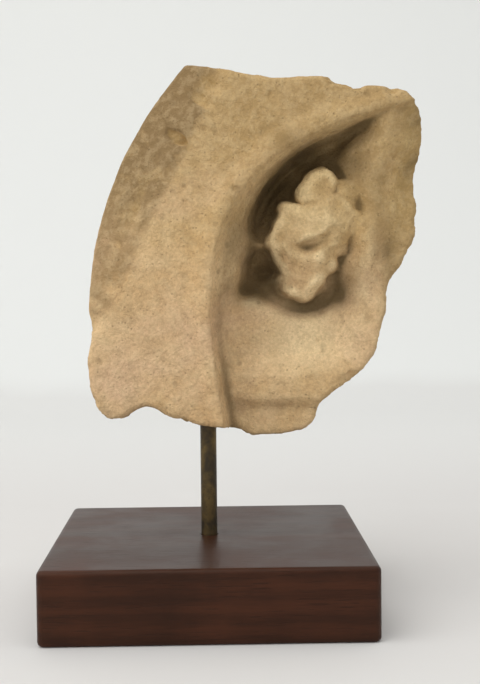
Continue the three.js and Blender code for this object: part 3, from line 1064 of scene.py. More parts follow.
    def stain(self, here: Surface) -> Array:
        """Say where the brown crust stains the chamfer.

        Args:
            here: The stone's surface.

        Returns:
            A share from 0 to 1 at each corner.
        """
        on_chamfer = ramp(*self.rules.chamfer_edge, self.chamfer(here.x, here.y, here.z))
        return on_chamfer * ramp(*self.rules.stain_above, here.z)

    def exposed(self, here: Surface) -> Array:
        """Say where the carving is painted pale: wear on its proud parts, which also stands as a painted
        highlight, and painted highlight spots.

        Args:
            here: The stone's surface.

        Returns:
            A share from 0 to 1 at each corner.
        """
        rules = self.rules
        # pale wear where the carving stands proud, also a painted highlight there
        rubbed = ramp(*rules.standing, here.proud)
        # painted highlight spots on the bowl and the boss's top
        for highlight_spot in rules.painted_highlight_spots:
            rubbed = rubbed + highlight_spot.at(here.x, here.z)
        in_carving = np.clip(rubbed, 0.0, 1.0) * ramp(*rules.wear_and_light_begins, here.inside_arris)
        return in_carving * (1.0 - here.behind) * (1.0 - here.on_wall)

    def mark(self, mesh: bpy.types.Mesh, places: Array) -> None:
        """Store where the stone is broken, where soil and painted shade darken it, where it is stained, and
        where pale wear and painted highlights lighten it.

        Args:
            mesh: The stone's mesh.
            places: Its corners in millimetres, with y back from the front plane.
        """
        here = self.survey(places)
        values = {
            Mark.BROKEN: self.broken(here), Mark.HOLLOW: self.hollow(here),
            Mark.STAIN: self.stain(here), Mark.WEAR_AND_LIGHT: self.exposed(here),
        }
        for mark, numbers in values.items():
            layer = mesh.attributes.new(mark.value, "FLOAT", "POINT")
            layer.data.foreach_set("value", numbers.astype(np.float32))

    def build(self, finish: "LimestoneFinish") -> bpy.types.Object:
        """Make the stone, weather it and put it in place of its node.

        Args:
            finish: The stone's finish.

        Returns:
            The finished piece.
        """
        piece = bpy.data.objects.new("carved_fragment", self.mesh())
        bpy.context.scene.collection.objects.link(piece)
        material = finish.material()
        weather(piece, Weathering(), material)
        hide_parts(Node.FRAGMENT.value)
        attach(piece, "root")
        return piece


# ---- geometry nodes ------------------------------------------------------------------------------


class TreeKit:
    """A node tree under construction, with short calls to add, set and join nodes."""

    def __init__(self, tree: bpy.types.NodeTree) -> None:
        """Take hold of the tree to build in."""
        self.tree = tree

    def put(self, value: object, socket: bpy.types.NodeSocket) -> None:
        """Feed an input.

        Args:
            value: A socket to join to it, or a plain value. A colour may leave out its alpha.
            socket: The input.
        """
        if isinstance(value, bpy.types.NodeSocket):
            self.tree.links.new(value, socket)
        elif isinstance(value, tuple) and socket.type == "RGBA":
            socket.default_value = (*value, 1.0)
        else:
            socket.default_value = value

    def add(self, kind: str, inputs: Inputs | None = None, **settings: object) -> bpy.types.Node:
        """Add a node.

        Args:
            kind: The node's type name.
            inputs: What feeds its inputs, by name or number: a socket or a plain value.
            **settings: Its own properties.

        Returns:
            The new node.
        """
        node = self.tree.nodes.new(kind)
        for name, value in settings.items():
            setattr(node, name, value)
        for key, value in (inputs or {}).items():
            self.put(value, node.inputs[key])
        return node

    def maths(self, operation: str, *values: object) -> bpy.types.NodeSocket:
        """Add a Math node fed by the values, and give its output."""
        return self.add("ShaderNodeMath", dict(enumerate(values)), operation=operation).outputs[0]

    def between(self, value: object, span: tuple[object, float],
                gives: tuple[object, object] = WHOLE) -> bpy.types.NodeSocket:
        """Add a smooth Map Range node.

        Args:
            value: The socket to map.
            span: The values between which it changes.
            gives: The results at the two ends of the span.

        Returns:
            The node's output.
        """
        node = self.add("ShaderNodeMapRange", {
            "Value": value, "From Min": span[0], "From Max": span[1], "To Min": gives[0], "To Max": gives[1],
        }, interpolation_type="SMOOTHSTEP")
        return node.outputs["Result"]

    def mix(self, share: object, first: object, second: object) -> bpy.types.NodeSocket:
        """Add a colour Mix node.

        Args:
            share: How much of the second colour there is.
            first: The first colour.
            second: The second colour.

        Returns:
            The node's output.
        """
        node = self.add("ShaderNodeMix", data_type="RGBA")
        for index, value in zip(MIX_COLOUR_INPUTS, (share, first, second)):
            self.put(value, node.inputs[index])
        return node.outputs[MIX_COLOUR_OUTPUT]


@dataclass(frozen=True)
class Weathering:
    """How the stone's surface has worn: sizes in metres."""

    carved_wear: float = 0.00035
    broken_relief: float = 0.0019
    lump_size: float = 0.011
    pit_depth: float = 0.0007
    pit_size: float = 0.0034
    seed: int = 3


def geometry_tree(name: str, inputs: dict[str, str]) -> TreeKit:
    """Start a geometry tree that takes and gives a geometry.

    Args:
        name: The tree's name.
        inputs: The kind of each further input, by its name: Float, Int or Material.

    Returns:
        A kit to build the tree with.
    """
    tree = bpy.data.node_groups.new(name, "GeometryNodeTree")
    for label, kind in {"Geometry": "Geometry", **inputs}.items():
        tree.interface.new_socket(label, in_out="INPUT", socket_type="NodeSocket" + kind)
    tree.interface.new_socket("Geometry", in_out="OUTPUT", socket_type="NodeSocketGeometry")
    return TreeKit(tree)


def dress(kit: TreeKit, geometry: bpy.types.NodeSocket, material: bpy.types.NodeSocket) -> None:
    """End a geometry tree: smooth shading, real instances, the material and the output.

    Args:
        kit: The tree's kit.
        geometry: The finished geometry.
        material: The input that names its material.
    """
    smooth = kit.add("GeometryNodeSetShadeSmooth", {"Geometry": geometry}).outputs[0]
    real = kit.add("GeometryNodeRealizeInstances", {"Geometry": smooth}).outputs[0]
    dressed = kit.add("GeometryNodeSetMaterial", {"Geometry": real, "Material": material}).outputs[0]
    kit.add("NodeGroupOutput", {"Geometry": dressed})


def weathering_tree() -> bpy.types.NodeTree:
    """Build the tree that wears a stone surface inwards.

    Returns:
        A geometry tree whose inputs are the sizes of the wear, a seed and the stone's material.
    """
    kit = geometry_tree("stone_weathering", {
        "Carved Wear": "Float", "Broken Relief": "Float", "Lump Size": "Float",
        "Pit Depth": "Float", "Pit Size": "Float", "Seed": "Int", "Stone": "Material",
    })
    given = kit.add("NodeGroupInput").outputs
    mark = kit.add("GeometryNodeInputNamedAttribute", {"Name": Mark.BROKEN.value}, data_type="FLOAT")
    where = kit.add("GeometryNodeInputPosition").outputs[0]
    lumps = kit.add("ShaderNodeTexNoise", {
        "Vector": where, "W": given["Seed"], "Scale": kit.maths("DIVIDE", 1.0, given["Lump Size"]),
        "Detail": 6.0, "Roughness": 0.62, "Distortion": 0.35,
    }, noise_dimensions="4D").outputs[0]
    rougher = kit.maths("SUBTRACT", given["Broken Relief"], given["Carved Wear"])
    reach = kit.maths("MULTIPLY_ADD", mark.outputs[0], rougher, given["Carved Wear"])
    worn = kit.maths("MULTIPLY", kit.between(lumps, LUMP_SPAN, LUMP_RISE), reach)
    cells = kit.add("ShaderNodeTexVoronoi", {
        "Vector": where, "W": given["Seed"], "Scale": kit.maths("DIVIDE", 1.0, given["Pit Size"]),
    }, voronoi_dimensions="4D")
    bowl = kit.between(cells.outputs["Distance"], PIT_SPAN, FALLING)
    tint = kit.add("FunctionNodeSeparateColor", {0: cells.outputs["Color"]}).outputs[0]
    chosen = kit.between(tint, PIT_CHOICE)
    pits = kit.maths("MULTIPLY", kit.maths("MULTIPLY", bowl, chosen), given["Pit Depth"])
    inward = kit.maths("MULTIPLY", kit.maths("ADD", worn, pits), -1.0)
    normal = kit.add("GeometryNodeInputNormal").outputs[0]
    shift = kit.add("ShaderNodeVectorMath", {0: normal, "Scale": inward}, operation="SCALE").outputs[0]
    moved = kit.add("GeometryNodeSetPosition", {"Geometry": given["Geometry"], "Offset": shift}).outputs[0]
    dress(kit, moved, given["Stone"])
    return kit.tree


def socket_of(tree: bpy.types.NodeTree, name: str) -> str:
    """Find the identifier of a tree's named input."""
    return next(item.identifier for item in tree.interface.items_tree
                if item.item_type == "SOCKET" and item.in_out == "INPUT" and item.name == name)


def settle(piece: bpy.types.Object, tree: bpy.types.NodeTree, inputs: dict[str, object]) -> None:
    """Run a geometry tree on a piece and keep only the plain mesh that it gives.

    Args:
        piece: The piece, whose mesh is replaced.
        tree: The geometry tree.
        inputs: The tree's inputs, by name.
    """
    modifier = piece.modifiers.new(tree.name, "NODES")
    modifier.node_group = tree
    for name, value in inputs.items():
        modifier[socket_of(tree, name)] = value
    graph = bpy.context.evaluated_depsgraph_get()
    made = bpy.data.meshes.new_from_object(piece.evaluated_get(graph), depsgraph=graph)
    piece.modifiers.remove(modifier)
    piece.data = made


def weather(piece: bpy.types.Object, wear: Weathering, material: bpy.types.Material) -> None:
    """Wear a stone piece's surface and dress it.

    Args:
        piece: The stone.
        wear: The sizes of its wear.
        material: Its finish.
    """
    settle(piece, weathering_tree(), {
        "Carved Wear": wear.carved_wear, "Broken Relief": wear.broken_relief, "Lump Size": wear.lump_size,
        "Pit Depth": wear.pit_depth, "Pit Size": wear.pit_size, "Seed": wear.seed, "Stone": material,
    })


# ---- shared shader groups ------------------------------------------------------------------------


def shader_group(name: str, inputs: dict[str, float], outputs: Sequence[str],
                 fill: Callable[[TreeKit, Sockets], Inputs]) -> bpy.types.NodeTree:
    """Build a shader node group once, or give the one already built.

    Args:
        name: The group's name.
        inputs: Its inputs and their usual values. Vector is always the first.
        outputs: The names of the values that it puts out.

    Returns:
        The group.
    """
    if name in bpy.data.node_groups:
        return bpy.data.node_groups[name]
    tree = bpy.data.node_groups.new(name, "ShaderNodeTree")
    tree.interface.new_socket("Vector", in_out="INPUT", socket_type="NodeSocketVector")
    for label, usual in inputs.items():
        socket = tree.interface.new_socket(label, in_out="INPUT", socket_type="NodeSocketFloat")
        socket.default_value = usual
    for label in outputs:
        tree.interface.new_socket(label, in_out="OUTPUT", socket_type="NodeSocketFloat")
    kit = TreeKit(tree)
    given = kit.add("NodeGroupInput").outputs
    kit.add("NodeGroupOutput", fill(kit, given))
    return tree


def mottle_group() -> bpy.types.NodeTree:
    """Build the group for soft cloudy variation, used on every finish.

    Returns:
        The group, with inputs Size and Contrast and the output Mask.
    """

    def fill(kit: TreeKit, given: Sockets) -> Inputs:
        """Fill the group.

        Args:
            kit: The group's kit.
            given: The group's inputs.

        Returns:
            What feeds its outputs.
        """
        cloud = kit.add("ShaderNodeTexNoise", {
            "Vector": given["Vector"], "Scale": kit.maths("DIVIDE", 1.0, given["Size"]),
            "Detail": 4.0, "Roughness": 0.55, "Distortion": 0.4,
        }).outputs[0]
        spread = kit.maths("DIVIDE", 0.5, given["Contrast"])
        over_low = kit.maths("SUBTRACT", cloud, kit.maths("SUBTRACT", 0.5, spread))
        return {"Mask": kit.maths("DIVIDE", over_low, kit.maths("MULTIPLY", spread, 2.0))}

    return shader_group("mottle", {"Size": 0.02, "Contrast": 2.0}, ("Mask",), fill)


def short_of_one(kit: TreeKit, value: bpy.types.NodeSocket) -> bpy.types.NodeSocket:
    """Hold a share between 0 and 0.98, so that a range from it to 1 never closes."""
    return kit.maths("MINIMUM", kit.maths("MAXIMUM", value, 0.0), 0.98)


def speckle_group() -> bpy.types.NodeTree:
    """Build the group for small grains and pits, used on the stone and the bronze.

    Returns:
        The group, with inputs Size and Sparseness and the outputs Grain and Pits.
    """

    def fill(kit: TreeKit, given: Sockets) -> Inputs:
        """Fill the group.

        Args:
            kit: The group's kit.
            given: The group's inputs.

        Returns:
            What feeds its outputs.
        """
        scale = kit.maths("DIVIDE", 1.0, given["Size"])
        grain = kit.add("ShaderNodeTexNoise", {
            "Vector": given["Vector"], "Scale": scale, "Detail": 3.0, "Roughness": 0.7,
        }).outputs[0]
        cells = kit.add("ShaderNodeTexVoronoi", {"Vector": given["Vector"], "Scale": scale})
        tint = kit.add("ShaderNodeSeparateColor", {0: cells.outputs["Color"]}).outputs[0]
        near = kit.between(cells.outputs["Distance"], SPECK_SPAN, FALLING)
        chosen = kit.between(tint, (short_of_one(kit, given["Sparseness"]), 1.0))
        return {"Grain": grain, "Pits": kit.maths("MULTIPLY", near, chosen)}

    return shader_group("speckle", {"Size": 0.001, "Sparseness": 0.7}, ("Grain", "Pits"), fill)


def grain_group() -> bpy.types.NodeTree:
    """Build the group for timber grain: growth rings along X, fine fibres and open pores.

    Returns:
        The group, with the input Ring Width and the outputs Rings, Fibre and Pores.
    """

    def fill(kit: TreeKit, given: Sockets) -> Inputs:
        """Fill the group.

        Args:
            kit: The group's kit.
            given: The group's inputs.

        Returns:
            What feeds its outputs.
        """
        along = kit.add("ShaderNodeMapping", {"Vector": given["Vector"], "Scale": GRAIN_STRETCH})
        pith = kit.add("ShaderNodeMapping", {"Vector": along.outputs[0], "Location": PITH_OFFSET})
        rings = kit.add("ShaderNodeTexWave", {
            "Vector": pith.outputs[0], "Scale": kit.maths("DIVIDE", 0.16, given["Ring Width"]),
            "Distortion": 5.0, "Detail": 3.0, "Detail Scale": 1.3, "Detail Roughness": 0.6,
        }, wave_type="RINGS", rings_direction="X").outputs["Fac"]
        fibre = kit.add("ShaderNodeTexNoise", {
            "Vector": along.outputs[0], "Scale": 900.0, "Detail": 3.0, "Roughness": 0.65,
        }).outputs[0]
        drawn = kit.add("ShaderNodeMapping", {"Vector": given["Vector"], "Scale": PORE_STRETCH})
        pores = kit.add("ShaderNodeTexNoise", {
            "Vector": drawn.outputs[0], "Scale": 1900.0, "Detail": 1.0,
        }).outputs[0]
        return {"Rings": rings, "Fibre": fibre, "Pores": kit.between(pores, PORE_SPAN)}

    return shader_group("timber_grain", {"Ring Width": 0.004}, ("Rings", "Fibre", "Pores"), fill)


class MaterialKit(TreeKit):
    """A material under construction, with its shader and its object coordinates to hand."""

    def __init__(self, name: str) -> None:
        """Start a material of one Principled shader.

        Args:
            name: The material's name.
        """
        self.material = bpy.data.materials.new(name)
        self.material.use_nodes = True
        super().__init__(self.material.node_tree)
        self.tree.nodes.clear()
        self.shader = self.add("ShaderNodeBsdfPrincipled")
        self.add("ShaderNodeOutputMaterial", {"Surface": self.shader.outputs[0]})
        self.where = self.add("ShaderNodeTexCoord").outputs["Object"]

    def group(self, tree: bpy.types.NodeTree, **inputs: float) -> Sockets:
        """Place a shared group.

        Args:
            tree: The group.
            **inputs: Its inputs, with underscores for the spaces in their names.

        Returns:
            Its outputs.
        """
        node = self.add("ShaderNodeGroup", node_tree=tree)
        self.put(self.where, node.inputs["Vector"])
        for name, value in inputs.items():
            self.put(value, node.inputs[name.replace("_", " ")])
        return node.outputs

    def clouds(self, size: float, contrast: float) -> bpy.types.NodeSocket:
        """Place the mottle group, and give its mask."""
        return self.group(mottle_group(), Size=size, Contrast=contrast)["Mask"]

    def specks(self, size: float, sparseness: float) -> Sockets:
        """Place the speckle group, and give its outputs."""
        return self.group(speckle_group(), Size=size, Sparseness=sparseness)

    def mark(self, mark: Mark) -> bpy.types.NodeSocket:
        """Read one of the stone's marks."""
        return self.add("ShaderNodeAttribute", attribute_name=mark.value).outputs["Fac"]

    def lay(self, share: float, mask: object, colour: object, over: object) -> bpy.types.NodeSocket:
        """Lay a share of a colour over another where a mask says."""
        return self.mix(self.maths("MULTIPLY", mask, share), over, colour)

    def feed(self, **inputs: object) -> None:
        """Feed the shader's sockets, with underscores for spaces in their names."""
        for name, value in inputs.items():
            self.put(value, self.shader.inputs[name.replace("_", " ")])

    def bump(self, height: bpy.types.NodeSocket, distance: float, strength: float) -> None:
        """Raise the surface by a height map, with its full rise in metres."""
        node = self.add("ShaderNodeBump", {"Height": height, "Distance": distance, "Strength": strength})
        self.put(node.outputs[0], self.shader.inputs["Normal"])


# ---- finishes ------------------------------------------------------------------------------------


@dataclass(frozen=True)
class LimestoneFinish:
    """Tan limestone, worn and dry, with soil and painted shade in its hollows, painted highlights on its
    proud carving, and a brown crust on its old flank.

    A pattern's pair is its size in metres and its contrast or sparseness. A span is the part of a pattern
    over which a colour comes in, and a share is how much of it then covers what is under it.
    """

    warm: Colour = (0.590, 0.378, 0.180)
    pale: Colour = (0.715, 0.500, 0.275)
    blush: Colour = (0.71, 0.480, 0.305)
    fresh: Colour = (0.445, 0.300, 0.132)
    # pale wear colour, also laid as painted highlights
    rubbed: Colour = (0.90, 0.70, 0.41)
    aged: Colour = (0.62, 0.42, 0.13)
    crust: Colour = (0.245, 0.158, 0.070)
    # soil together with painted shade in the hollows
    soil_and_shade: Colour = (0.100, 0.066, 0.026)
    clouds: Pair = (0.026, 2.2)
    drifts: Pair = (0.045, 2.6)
    patches: Pair = (0.006, 2.6)
    fine: Pair = (0.0011, 0.72)
    coarse: Pair = (0.0038, 0.8)
    pale_span: Pair = (0.1, 0.9)
    blush_span: Pair = (0.35, 0.9)
    blush_share: float = 0.7
    fresh_share: float = 0.7
    patch_span: Pair = (0.35, 1.1)
    patch_share: float = 0.28
    aged_heights: Pair = (0.112, 0.165)
    aged_share: float = 0.36
    crust_heights: Pair = (0.125, 0.185)
    crust_share: float = 0.46
    crust_span: Pair = (-0.2, 1.0)
    crust_in_clouds: Pair = (1.15, 0.75)
    crust_lost_by_breaks: float = 0.1
    stain_heights: Pair = (0.13, 0.185)
    stain_by_height: Pair = (0.9, 1.75)
    stain_span: Pair = (-0.2, 0.8)
    stain_in_patches: Pair = (0.4, 0.8)
    wear_and_light_share: float = 0.75
    fine_span: Pair = (0.36, 0.62)
    fine_share: float = 0.27
    coarse_span: Pair = (0.42, 0.64)
    coarse_share: float = 0.15
    soil_and_shade_share: float = 0.88
    fine_pit_share: float = 0.35
    coarse_pit_share: float = 0.3
    roughness: Pair = (0.93, 0.85)
    gloss: float = 0.25
    coarse_relief: float = 1.6
    relief: float = 0.0006
    relief_strength: float = 0.9

    def material(self) -> bpy.types.Material:
        """Build the stone's material.

        Returns:
            The material.
        """
        kit = MaterialKit("tan_limestone")
        clouds = kit.clouds(*self.clouds)
        patches = kit.clouds(*self.patches)
        drifts = kit.clouds(*self.drifts)
        fine = kit.specks(*self.fine)
        coarse = kit.specks(*self.coarse)
        height = kit.add("ShaderNodeSeparateXYZ", {0: kit.where}).outputs["Z"]
        broken = kit.mark(Mark.BROKEN)
        # the bed's own colours, and the darker stone of its breaks
        colour = kit.mix(kit.between(clouds, self.pale_span), self.warm, self.pale)
        colour = kit.mix(kit.between(drifts, self.blush_span, (0.0, self.blush_share)), colour, self.blush)
        colour = kit.lay(self.fresh_share, broken, self.fresh, colour)
        # age: yellower upwards, then the crust on the top and down the flank
        colour = kit.mix(kit.between(patches, self.patch_span, (0.0, self.patch_share)), colour, self.crust)
        ageing = kit.between(height, self.aged_heights, (0.0, self.aged_share))
        colour = kit.mix(ageing, colour, self.aged)
        crusted = kit.between(height, self.crust_heights, (0.0, self.crust_share))
        old_top = kit.maths("MULTIPLY", crusted, kit.between(clouds, self.crust_span, self.crust_in_clouds))
        spared = kit.maths("MULTIPLY_ADD", broken, -self.crust_lost_by_breaks, 1.0)
        colour = kit.mix(kit.maths("MULTIPLY", old_top, spared), colour, self.crust)
        blotch = kit.maths("MULTIPLY", kit.between(patches, self.stain_span, self.stain_in_patches),
                           kit.between(height, self.stain_heights, self.stain_by_height))
        colour = kit.mix(kit.maths("MULTIPLY", kit.mark(Mark.STAIN), blotch), colour, self.crust)
        # wear with painted highlights, grain, and soil with painted shade
        # the pale wear colour, laid where the carving is worn and as painted highlights
        rubbed = kit.mix(ageing, self.rubbed, self.aged)
        colour = kit.lay(self.wear_and_light_share, kit.mark(Mark.WEAR_AND_LIGHT), rubbed, colour)
        dark_grain = kit.between(fine["Grain"], self.fine_span, (0.0, self.fine_share))
        colour = kit.mix(dark_grain, colour, self.crust)
        pale_grain = kit.between(coarse["Grain"], self.coarse_span, (0.0, self.coarse_share))
        colour = kit.mix(pale_grain, colour, self.rubbed)
        # soil and painted shade in the hollows
        colour = kit.lay(self.soil_and_shade_share, kit.mark(Mark.HOLLOW), self.soil_and_shade, colour)
        pits = kit.maths("ADD", kit.maths("MULTIPLY", fine["Pits"], self.fine_pit_share),
                         kit.maths("MULTIPLY", coarse["Pits"], self.coarse_pit_share))
        colour = kit.mix(kit.maths("MINIMUM", pits, 1.0), colour, self.soil_and_shade)
        kit.feed(Base_Color=colour, Roughness=kit.between(patches, WHOLE, self.roughness))
        kit.feed(Specular_IOR_Level=self.gloss)
        rough = kit.maths("ADD", fine["Grain"], kit.maths("MULTIPLY", coarse["Grain"], self.coarse_relief))
        kit.bump(kit.maths("SUBTRACT", rough, pits), self.relief, self.relief_strength)
        return kit.material


@dataclass(frozen=True)
class BronzeFinish:
    """Dark patinated bronze, rubbed a little brighter in places.

    A pattern's pair is its size in metres and its contrast or sparseness.
    """

    metal: Colour = (0.16, 0.112, 0.05)
    patina: Colour = (0.055, 0.042, 0.026)
    patches: Pair = (0.007, 2.4)
    specks: Pair = (0.0009, 0.6)
    metal_span: Pair = (0.2, 0.9)
    pit_share: float = 0.6
    metallic_span: Pair = (0.1, 0.9)
    metallic: Pair = (0.7, 1.0)
    roughness_span: Pair = (0.3, 0.7)
    roughness: Pair = (0.36, 0.55)
    relief: float = 0.00012
    relief_strength: float = 0.5

    def material(self) -> bpy.types.Material:
        """Build the rod's material.

        Returns:
            The material.
        """
        kit = MaterialKit("dark_bronze")
        rubbed = kit.clouds(*self.patches)
        specks = kit.specks(*self.specks)
        colour = kit.mix(kit.between(rubbed, self.metal_span), self.patina, self.metal)
        colour = kit.lay(self.pit_share, specks["Pits"], self.patina, colour)
        kit.feed(Base_Color=colour, Metallic=kit.between(rubbed, self.metallic_span, self.metallic))
        kit.feed(Roughness=kit.between(specks["Grain"], self.roughness_span, self.roughness))
        kit.bump(specks["Grain"], self.relief, self.relief_strength)
        return kit.material


@dataclass(frozen=True)
class StainedWoodFinish:
    """Fine-grained hardwood under a dark red-brown stain and satin lacquer.

    The clouds' pair is their size in metres and their contrast.
    """

    dark: Colour = (0.026, 0.0085, 0.0045)
    red: Colour = (0.058, 0.018, 0.0085)
    lacquer: Colour = (1.0, 0.86, 0.72)
    lacquer_ior: float = 1.3
    ring_width: float = 0.0034
    clouds: Pair = (0.03, 1.8)
    ring_share: float = 0.22
    cloud_share: float = 0.5
    fibre_share: float = 0.45
    pore_share: float = 0.7
    red_span: Pair = (0.25, 0.95)
    roughness_span: Pair = (0.1, 0.9)
    roughness: Pair = (0.34, 0.44)
    fibre_relief: float = 0.4
    relief: float = 0.00006
    relief_strength: float = 0.6

    def material(self) -> bpy.types.Material:
        """Build the block's material.

        Returns:
            The material.
        """
        kit = MaterialKit("stained_hardwood")
        grain = kit.group(grain_group(), Ring_Width=self.ring_width)
        clouds = kit.clouds(*self.clouds)
        figure = kit.maths("ADD", kit.maths("MULTIPLY", grain["Rings"], self.ring_share),
                           kit.maths("MULTIPLY", clouds, self.cloud_share))
        figure = kit.maths("ADD", figure, kit.maths("MULTIPLY", grain["Fibre"], self.fibre_share))
        colour = kit.mix(kit.between(figure, self.red_span), self.dark, self.red)
        colour = kit.lay(self.pore_share, grain["Pores"], self.dark, colour)
        kit.feed(Base_Color=colour, Roughness=kit.between(clouds, self.roughness_span, self.roughness))
        kit.feed(IOR=self.lacquer_ior, Specular_Tint=self.lacquer)
        fibres = kit.maths("MULTIPLY", grain["Fibre"], self.fibre_relief)
        kit.bump(kit.maths("SUBTRACT", fibres, grain["Pores"]), self.relief, self.relief_strength)
        return kit.material


@dataclass(frozen=True)
class SweepFinish:
    """A matt pale paper sweep, darker and warmer on the floor than up the back as painted shade, paling
    towards the back with painted light, that glows where the lamps fade.

    Heights and distances are in metres, and the clouds' pair is their size and their contrast.
    """

    wall: Colour = (0.775, 0.782, 0.768)
    floor: Colour = (0.64, 0.622, 0.608)
    glow: Colour = (0.41, 0.405, 0.40)
    unlit: Colour = (0.0, 0.0, 0.0)
    glow_strength: float = 1.0
    wall_heights: Pair = (0.0, 0.04)
    paling_distances: Pair = (0.05, 0.6)
    paling: float = 0.6
    fading_distances: Pair = (0.9, 2.4)
    clouds: Pair = (0.35, 1.5)
    unevenness: float = 0.02
    roughness: float = 0.9
    gloss: float = 0.2

    def material(self) -> bpy.types.Material:
        """Build the sweep's material.

        Returns:
            The material.
        """
        kit = MaterialKit("pale_sweep")
        clouds = kit.clouds(*self.clouds)
        place = kit.add("ShaderNodeSeparateXYZ", {0: kit.where}).outputs
        uneven = kit.maths("ADD", place["Z"], kit.maths("MULTIPLY", clouds, self.unevenness))
        # the darker floor colour is painted shade, and the paling towards the back is painted light that
        # lifts the bend
        rise = kit.between(uneven, self.wall_heights)
        recede = kit.between(place["Y"], self.paling_distances, (0.0, self.paling))
        colour = kit.mix(kit.maths("MAXIMUM", rise, recede), self.floor, self.wall)
        kit.feed(Base_Color=colour, Roughness=self.roughness, Specular_IOR_Level=self.gloss)
        aside = kit.maths("ABSOLUTE", place["X"])
        ahead = kit.maths("MULTIPLY", place["Y"], -1.0)
        faded = kit.between(kit.maths("MAXIMUM", aside, ahead), self.fading_distances)
        kit.feed(Emission_Color=kit.mix(faded, self.unlit, self.glow), Emission_Strength=self.glow_strength)
        return kit.material


# ---- the stand -----------------------------------------------------------------------------------


def rod_tree() -> bpy.types.NodeTree:
    """Build the tree that draws a straight rod with eased ends.

    Returns:
        A geometry tree whose inputs are the rod's ends, its radius, its easing and its material.
    """
    kit = geometry_tree("drawn_rod", {
        "Bottom": "Float", "Top": "Float", "Radius": "Float", "Easing": "Float",
        "Sides": "Int", "Stations": "Int", "Metal": "Material",
    })
    given = kit.add("NodeGroupInput").outputs
    ends = [kit.add("ShaderNodeCombineXYZ", {"Z": given[name]}).outputs[0] for name in ("Bottom", "Top")]
    line = kit.add("GeometryNodeCurvePrimitiveLine", {"Start": ends[0], "End": ends[1]}).outputs[0]
    stations = kit.add("GeometryNodeResampleCurve", {"Curve": line, "Count": given["Stations"]}).outputs[0]
    where = kit.add("GeometryNodeInputPosition").outputs[0]
    height = kit.add("ShaderNodeSeparateXYZ", {0: where}).outputs["Z"]
    from_bottom = kit.maths("SUBTRACT", height, given["Bottom"])
    from_top = kit.maths("SUBTRACT", given["Top"], height)
    near_end = kit.maths("DIVIDE", kit.maths("MINIMUM", from_bottom, from_top), given["Easing"])
    missing = kit.maths("SUBTRACT", 1.0, kit.maths("MINIMUM", near_end, 1.0))
    rounded = kit.maths("SQRT", kit.maths("SUBTRACT", 1.0, kit.maths("MULTIPLY", missing, missing)))
    inset = kit.maths("MULTIPLY", given["Easing"], kit.maths("SUBTRACT", 1.0, rounded))
    eased = kit.maths("SUBTRACT", given["Radius"], inset)
    curve = kit.add("GeometryNodeSetCurveRadius", {"Curve": stations, "Radius": eased}).outputs[0]
    section = kit.add("GeometryNodeCurvePrimitiveCircle", {"Resolution": given["Sides"], "Radius": 1.0})
    tube = kit.add("GeometryNodeCurveToMesh", {
        "Curve": curve, "Profile Curve": section.outputs[0], "Fill Caps": True,
        "Scale": kit.add("GeometryNodeInputRadius").outputs[0],
    }).outputs[0]
    dress(kit, tube, given["Metal"])
    return kit.tree


@dataclass
class MountRod:
    """The upright rod, from its blind bore in the block to its blind bore in the stone."""

    easing: float = 0.9 * MM
    sides: int = 40
    stations: int = 181

    def build(self, finish: BronzeFinish) -> bpy.types.Object:
        """Make the rod and put it in place of its node.

        Args:
            finish: The rod's finish.

        Returns:
            The finished piece.
        """
        low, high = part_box(Node.ROD.value)
        piece = bpy.data.objects.new("bronze_rod", bpy.data.meshes.new("bronze_rod"))
        bpy.context.scene.collection.objects.link(piece)
        settle(piece, rod_tree(), {
            "Bottom": low[2], "Top": high[2], "Radius": (high[0] - low[0]) / 2.0, "Easing": self.easing,
            "Sides": self.sides, "Stations": self.stations, "Metal": finish.material(),
        })
        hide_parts(Node.ROD.value)
        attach(piece, "root")
        return piece


